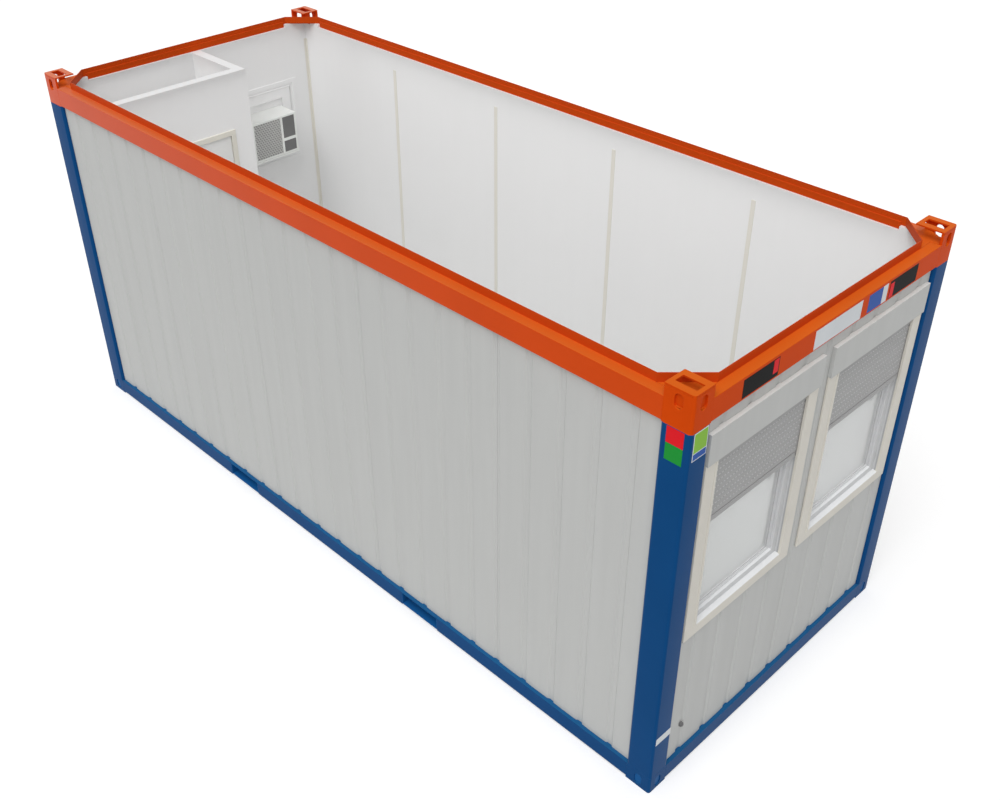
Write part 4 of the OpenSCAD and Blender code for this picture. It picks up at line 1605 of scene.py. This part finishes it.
@dataclass
class AirConditioner:
    """The air conditioner that reaches through the door end beside the lobby."""

    rim: float = 0.020
    grille_side: float = 0.165
    foot: float = 0.034
    split: float = 0.013
    rounding: float = 0.006
    depth: float = 0.007
    bar_pitch: float = 0.0185
    vane_pitch: float = 0.0245
    vane_turn: float = 24.0
    backing_rows: int = 9
    fin_count: int = 30
    fin_turn: float = 28.0
    flatten: float = 0.006

    def __post_init__(self) -> None:
        """Reads the case's corners and the X of its room side."""
        self.low, self.high = cad("aircon_unit")
        self.front = self.high.x

    def build(self) -> None:
        """Builds the surround, the case, its grille and flaps, and its outdoor side."""
        surround = softened("aircon_surround", 0.0015)
        proud = cad("aircon_surround")[1].x - 0.004
        for vertex in surround.data.vertices:
            if vertex.co.x > proud:
                vertex.co.x -= self.flatten
        hand_over(surround, LINING, nodes=["aircon_surround"])
        windows = self.windows()
        case = block("aircon_case_shape", self.low, self.high, self.rounding, 4)
        back, out = self.front - self.depth, self.front + 0.01
        holes = [((back, y0, z0), (out, y1, z1)) for y0, z0, y1, z1 in windows]
        pierce(case, *holes, self.foot_slot())
        hand_over(round_edges(case, 0.001, 2, 60.0), CASE, nodes=["aircon_unit"])
        grille, *controls = windows
        for piece, finish in (
            (self.grille(*grille), GRILLE),
            (self.backing(*grille), BACKING),
            (joined("aircon_controls", [self.control(*flap) for flap in controls]), CASE_DARK),
            (self.fins(), GRILLE),
        ):
            hand_over(piece, finish)

    def windows(self) -> list[tuple[float, float, float, float]]:
        """Gives the (y, z, y, z) boxes of the grille and of the two control panels."""
        low, high, rim = self.low, self.high, self.rim
        split = high.y - self.grille_side
        bottom, top = low.z + self.foot, high.z - rim
        middle = bottom + 0.36 * (top - bottom)
        return [
            (low.y + rim, bottom, split, top),
            (split + rim, middle + self.split, high.y - rim, top),
            (split + rim, bottom, high.y - rim, middle - self.split),
        ]

    def foot_slot(self) -> Box:
        """Gives the box of the thin slot under the grille."""
        z, half, side = self.low.z + self.foot / 2, 0.0015, 0.012
        return (
            (self.front - 0.004, self.low.y + side, z - half),
            (self.front + 0.01, self.high.y - side, z + half),
        )

    def grille(self, y0: float, z0: float, y1: float, z1: float) -> Object:
        """Models the grille: level bars with slanted vanes between them.

        Args:
            y0: Lowest Y of the grille's opening.
            z0: Lowest Z.
            y1: Highest Y.
            z1: Highest Z.

        Returns:
            The grille.
        """
        x = self.front
        rows, columns = int((z1 - z0) / self.bar_pitch), int((y1 - y0) / self.vane_pitch)
        bar_step, vane_step = (z1 - z0) / rows, (y1 - y0) / columns
        bar = block(
            "bar", (x - 0.0055, y0 - 0.001, z0 - 0.0028), (x - 0.0015, y1 + 0.001, z0 + 0.0028),
            0.001, 1,
        )
        bars = spread("bars", bar, [shift(z=i * bar_step) for i in range(1, rows)])
        half = bar_step * 0.56
        vane = block("vane", (-0.0060, -0.0042, -half), (-0.0020, 0.0042, half), 0.001, 1)
        turn = Matrix.Rotation(math.radians(self.vane_turn), 4, "X")
        places = []
        for row in range(rows):
            stagger = 0.5 * (row % 2)
            for column in range(columns + 1):
                y = y0 + (column + 0.25 + stagger) * vane_step
                if y0 + 0.006 < y < y1 - 0.006:
                    places.append(shift(x, y, z0 + (row + 0.5) * bar_step) @ turn)
        return joined("aircon_grille", [bars, spread("vanes", vane, places)])

    def backing(self, y0: float, z0: float, y1: float, z1: float) -> Object:
        """Models the plate behind the grille."""
        x, rows = self.front - self.depth, self.backing_rows
        plate = block(
            "aircon_backing", (x - 0.001, y0 - 0.001, z0 - 0.001),
            (x + 0.0006, y1 + 0.001, z1 + 0.001),
        )
        with editing(plate):
            slice_along(2, [z0 + (z1 - z0) * i / rows for i in range(1, rows)])
        return round_edges(plate, 0.0003)

    def control(self, y0: float, z0: float, y1: float, z1: float) -> Object:
        """Models a dark flap with a raised rim."""
        gap = 0.0008
        flap = block(
            "flap", (self.front - self.depth - 0.001, y0 + gap, z0 + gap),
            (self.front - 0.0015, y1 - gap, z1 - gap),
        )
        with editing(flap):
            push_faces(flap, lambda centre, normal: normal.x > 0.9)
            bpy.ops.mesh.inset(thickness=0.004)
            bpy.ops.transform.translate(value=(-0.001, 0, 0))
        return round_edges(flap, 0.0008)

    def fins(self) -> Object:
        """Models the outdoor side's louvres."""
        low, high, side = self.low, self.high, 0.04
        foot, top = low.z + 0.035, high.z - 0.035
        fin = block("fin", (low.x - 0.0035, -0.0035, foot), (low.x + 0.001, 0.0035, top), 0.0012)
        swing = Matrix.Rotation(math.radians(self.fin_turn), 4, "Z")
        turn = shift(x=low.x) @ swing @ shift(x=-low.x)
        step = (high.y - low.y - 2 * side) / self.fin_count
        ys = [low.y + side + (i + 0.5) * step for i in range(self.fin_count)]
        return spread("aircon_fins", fin, [shift(y=y) @ turn for y in ys])


# ---------------------------------------------------------------- plates


@dataclass
class Signs:
    """The thin blank plates on the steelwork, and the inlet low on the window end."""

    thin: float = 0.0009
    thick: float = 0.0014
    sink: float = 0.0005
    inlet: tuple[float, float] = (-0.930, 0.352)

    def build(self) -> None:
        """Builds all plates, those that lie on another one thicker, and the inlet."""
        x, y, foot, top = 3.0275, -1.2175, 2.613, 2.721
        thin, thick = self.thin, self.thick
        for name, low, high, finish, thickness in (
            ("hazard_front", (x, -0.830, foot), (x, -0.530, top), PLATE_BLACK, thin),
            ("owner", (x, -0.213, foot - 0.003), (x, 0.233, top + 0.002), PLATE_WHITE, thin),
            ("class", (x, 0.300, foot), (x, 0.442, top), PLATE_BLUE, thin),
            ("class_tip", (x, 0.444, foot), (x, 0.494, top), PLATE_WHITE, thin),
            ("hazard_back", (x, 0.517, foot), (x, 0.817, top), PLATE_BLACK, thin),
            ("post_upper", (2.889, y, 2.499), (2.991, y, 2.592), PLATE_RED, thin),
            ("post_lower", (2.889, y, 2.400), (2.991, y, 2.497), PLATE_GREEN, thin),
            ("end", (x, -1.190, 2.430), (x, -1.080, 2.593), PLATE_WHITE, thin),
            ("low_strip", (x, -1.203, 0.415), (x, -1.072, 0.468), PLATE_WHITE, thin),
            ("end_upper", (x, -1.185, 2.476), (x, -1.085, 2.588), PLATE_LIME, thick),
            ("end_lower", (x, -1.185, 2.435), (x, -1.085, 2.471), PLATE_BLUE, thick),
            (
                "hazard_front_tip", (x, -0.578, foot + 0.024), (x, -0.536, top - 0.004),
                PLATE_RED, thick,
            ),
            (
                "hazard_back_tip", (x, 0.521, foot + 0.004), (x, 0.562, top - 0.016),
                PLATE_RED, thick,
            ),
        ):
            self.plate("plate_" + name, Vector(low), Vector(high), finish, thickness)
        self.cable_inlet()

    def plate(
        self, name: str, low: Vector, high: Vector, finish: Finish, thickness: float
    ) -> None:
        """Builds one plate.

        Args:
            name: Name of the plate.
            low: Lowest corner of the patch it covers.
            high: Highest corner of that patch.
            finish: The plate's finish.
            thickness: How far it stands out from the steel.
        """
        axis = min(range(3), key=lambda i: high[i] - low[i])
        outward = 1 if low[axis] > 0 else -1
        faces = low[axis] - outward * self.sink, low[axis] + outward * thickness
        low[axis], high[axis] = sorted(faces)
        plate = block(name, low, high, thickness * 0.3)
        hand_over(plate, finish)

    def cable_inlet(self) -> None:
        """Builds the small round inlet low on the window end."""
        x = cad("window_wall_front")[1].x
        parts = [
            rod(name, (x + back, *self.inlet), (x + front, *self.inlet), radius, sides, rounding)
            for name, back, front, radius, sides, rounding in (
                ("collar", -0.008, 0.006, 0.016, 28, 0.0015),
                ("plug", -0.004, 0.012, 0.010, 24, 0.002),
            )
        ]
        hand_over(joined("cable_inlet", parts), CASE_DARK)


# ---------------------------------------------------------------- studio


@dataclass
class Studio:
    """The camera, the lamps and the pale floor that the cabin is shown on."""

    place: tuple[float, float, float] = (5.3934, -4.8229, 5.7222)
    forward: tuple[float, float, float] = (-0.58032, 0.57722, -0.57449)
    roll: float = -0.09
    lens: float = 41.56
    shift: tuple[float, float] = (0.0041, 0.0075)
    sun_strength: float = 1.75
    sun_angle: float = 45.0
    sun_from: tuple[float, float, float] = (0.22, -0.48, 0.85)
    sky_strength: float = 0.45
    room_light_height: float = 2.69
    room_light_inset: float = 0.1
    room_power: float = 11.0
    lobby_power: float = 0.7
    alcove_power: float = 0.3
    floor_shade: float = 0.70
    floor_glow: float = 0.42

    def build(self) -> None:
        """Builds the studio."""
        self.camera()
        self.sun()
        self.room_lights()
        self.sky()
        self.floor()

    def camera(self) -> None:
        """Adds the camera and makes it the scene's."""
        bpy.ops.object.camera_add(location=self.place)
        camera = bpy.context.active_object
        camera.name = "camera"
        look = Vector(self.forward).to_track_quat("-Z", "Y").to_matrix().to_4x4()
        turn = look @ Matrix.Rotation(math.radians(self.roll), 4, "Z")
        camera.rotation_euler = turn.to_euler()
        camera.data.lens = self.lens
        camera.data.sensor_width = 36.0
        camera.data.shift_x, camera.data.shift_y = self.shift
        camera.data.clip_end = 200.0
        bpy.context.scene.camera = camera

    def sun(self) -> None:
        """Adds a broad sun from above."""
        bpy.ops.object.light_add(type="SUN", location=(0, 0, 8))
        sun = bpy.context.active_object
        sun.name = "sun"
        sun.rotation_euler = Vector(self.sun_from).to_track_quat("Z", "Y").to_euler()
        sun.data.energy = self.sun_strength
        sun.data.angle = math.radians(self.sun_angle)

    def room_lights(self) -> None:
        """Lights the rooms softly from a little above their walls."""
        room = cad("floor_deck")
        side, cross = cad("lobby_side_wall"), cad("lobby_door_pier")
        for name, low, high, power in (
            ("room_light", (cross[1].x, room[0].y), (room[1].x, room[1].y), self.room_power),
            ("lobby_light", (room[0].x, room[0].y), (cross[0].x, side[0].y), self.lobby_power),
            ("alcove_light", (room[0].x, side[1].y), (cross[1].x, room[1].y), self.alcove_power),
        ):
            middle = [(a + b) / 2 for a, b in zip(low, high)]
            lengths = [b - a - 2 * self.room_light_inset for a, b in zip(low, high)]
            bpy.ops.object.light_add(type="AREA", location=(*middle, self.room_light_height))
            lamp = bpy.context.active_object
            lamp.name = name
            lamp.data.shape = "RECTANGLE"
            lamp.data.size, lamp.data.size_y = lengths
            lamp.data.energy = power
            lamp.visible_camera = lamp.visible_glossy = False

    def sky(self) -> None:
        """Sets an even grey light that looks white to the camera and in reflections."""
        world = bpy.data.worlds.new("studio")
        bpy.context.scene.world = world
        world.use_nodes = True
        tree = world.node_tree
        tree.nodes.clear()
        light, shown = (
            add_node(tree, "Background", {"Color": (1.0, 1.0, 1.0), "Strength": strength})
            for strength in (self.sky_strength, 1.0)
        )
        blend = add_node(tree, "MixShader", {"Fac": self.seen(tree), 1: light, 2: shown})
        add_node(tree, "OutputWorld", {"Surface": blend})

    def seen(self, tree: Tree) -> Socket:
        """Tells the camera's, reflections' and glass's rays from those that light things."""
        path = tree.nodes.new("ShaderNodeLightPath").outputs
        rays = {0: path["Is Camera Ray"], 1: path["Is Glossy Ray"]}
        first = add_node(tree, "Math", rays, operation="MAXIMUM")
        rays = {0: first, 1: path["Is Transmission Ray"]}
        return add_node(tree, "Math", rays, operation="MAXIMUM")

    def floor(self) -> None:
        """Adds the floor, white enough to melt into the background."""
        deselect()
        bpy.ops.mesh.primitive_plane_add(size=60.0, location=(0, 0, -0.001))
        floor = bpy.context.active_object
        floor.name = floor.data.name = "studio_floor"
        place_mesh()
        board = ShaderBoard("studio_floor")
        board.constant("Base Color", (self.floor_shade,) * 3)
        board.constant("Roughness", 0.9)
        board.constant("Specular IOR Level", 0.0)
        board.constant("Emission Color", (1.0, 1.0, 1.0))
        glow = board.math("MULTIPLY", self.seen(board.tree), self.floor_glow)
        board.feed(glow, "Emission Strength")
        floor.data.materials.append(board.material)


# ---------------------------------------------------------------- main


def main() -> None:
    """Builds the cabin's looks and the studio."""
    logging.basicConfig(level=logging.INFO, format="%(name)s: %(message)s")
    bpy.context.scene.view_settings.view_transform = "Standard"
    for group in (
        SteelFrame(), Walls(), WindowUnit(), Lobby(), InnerDoor(), Entrance(),
        AirConditioner(), Signs(), Studio(),
    ):
        group.build()


if __name__ == "__main__":
    main()
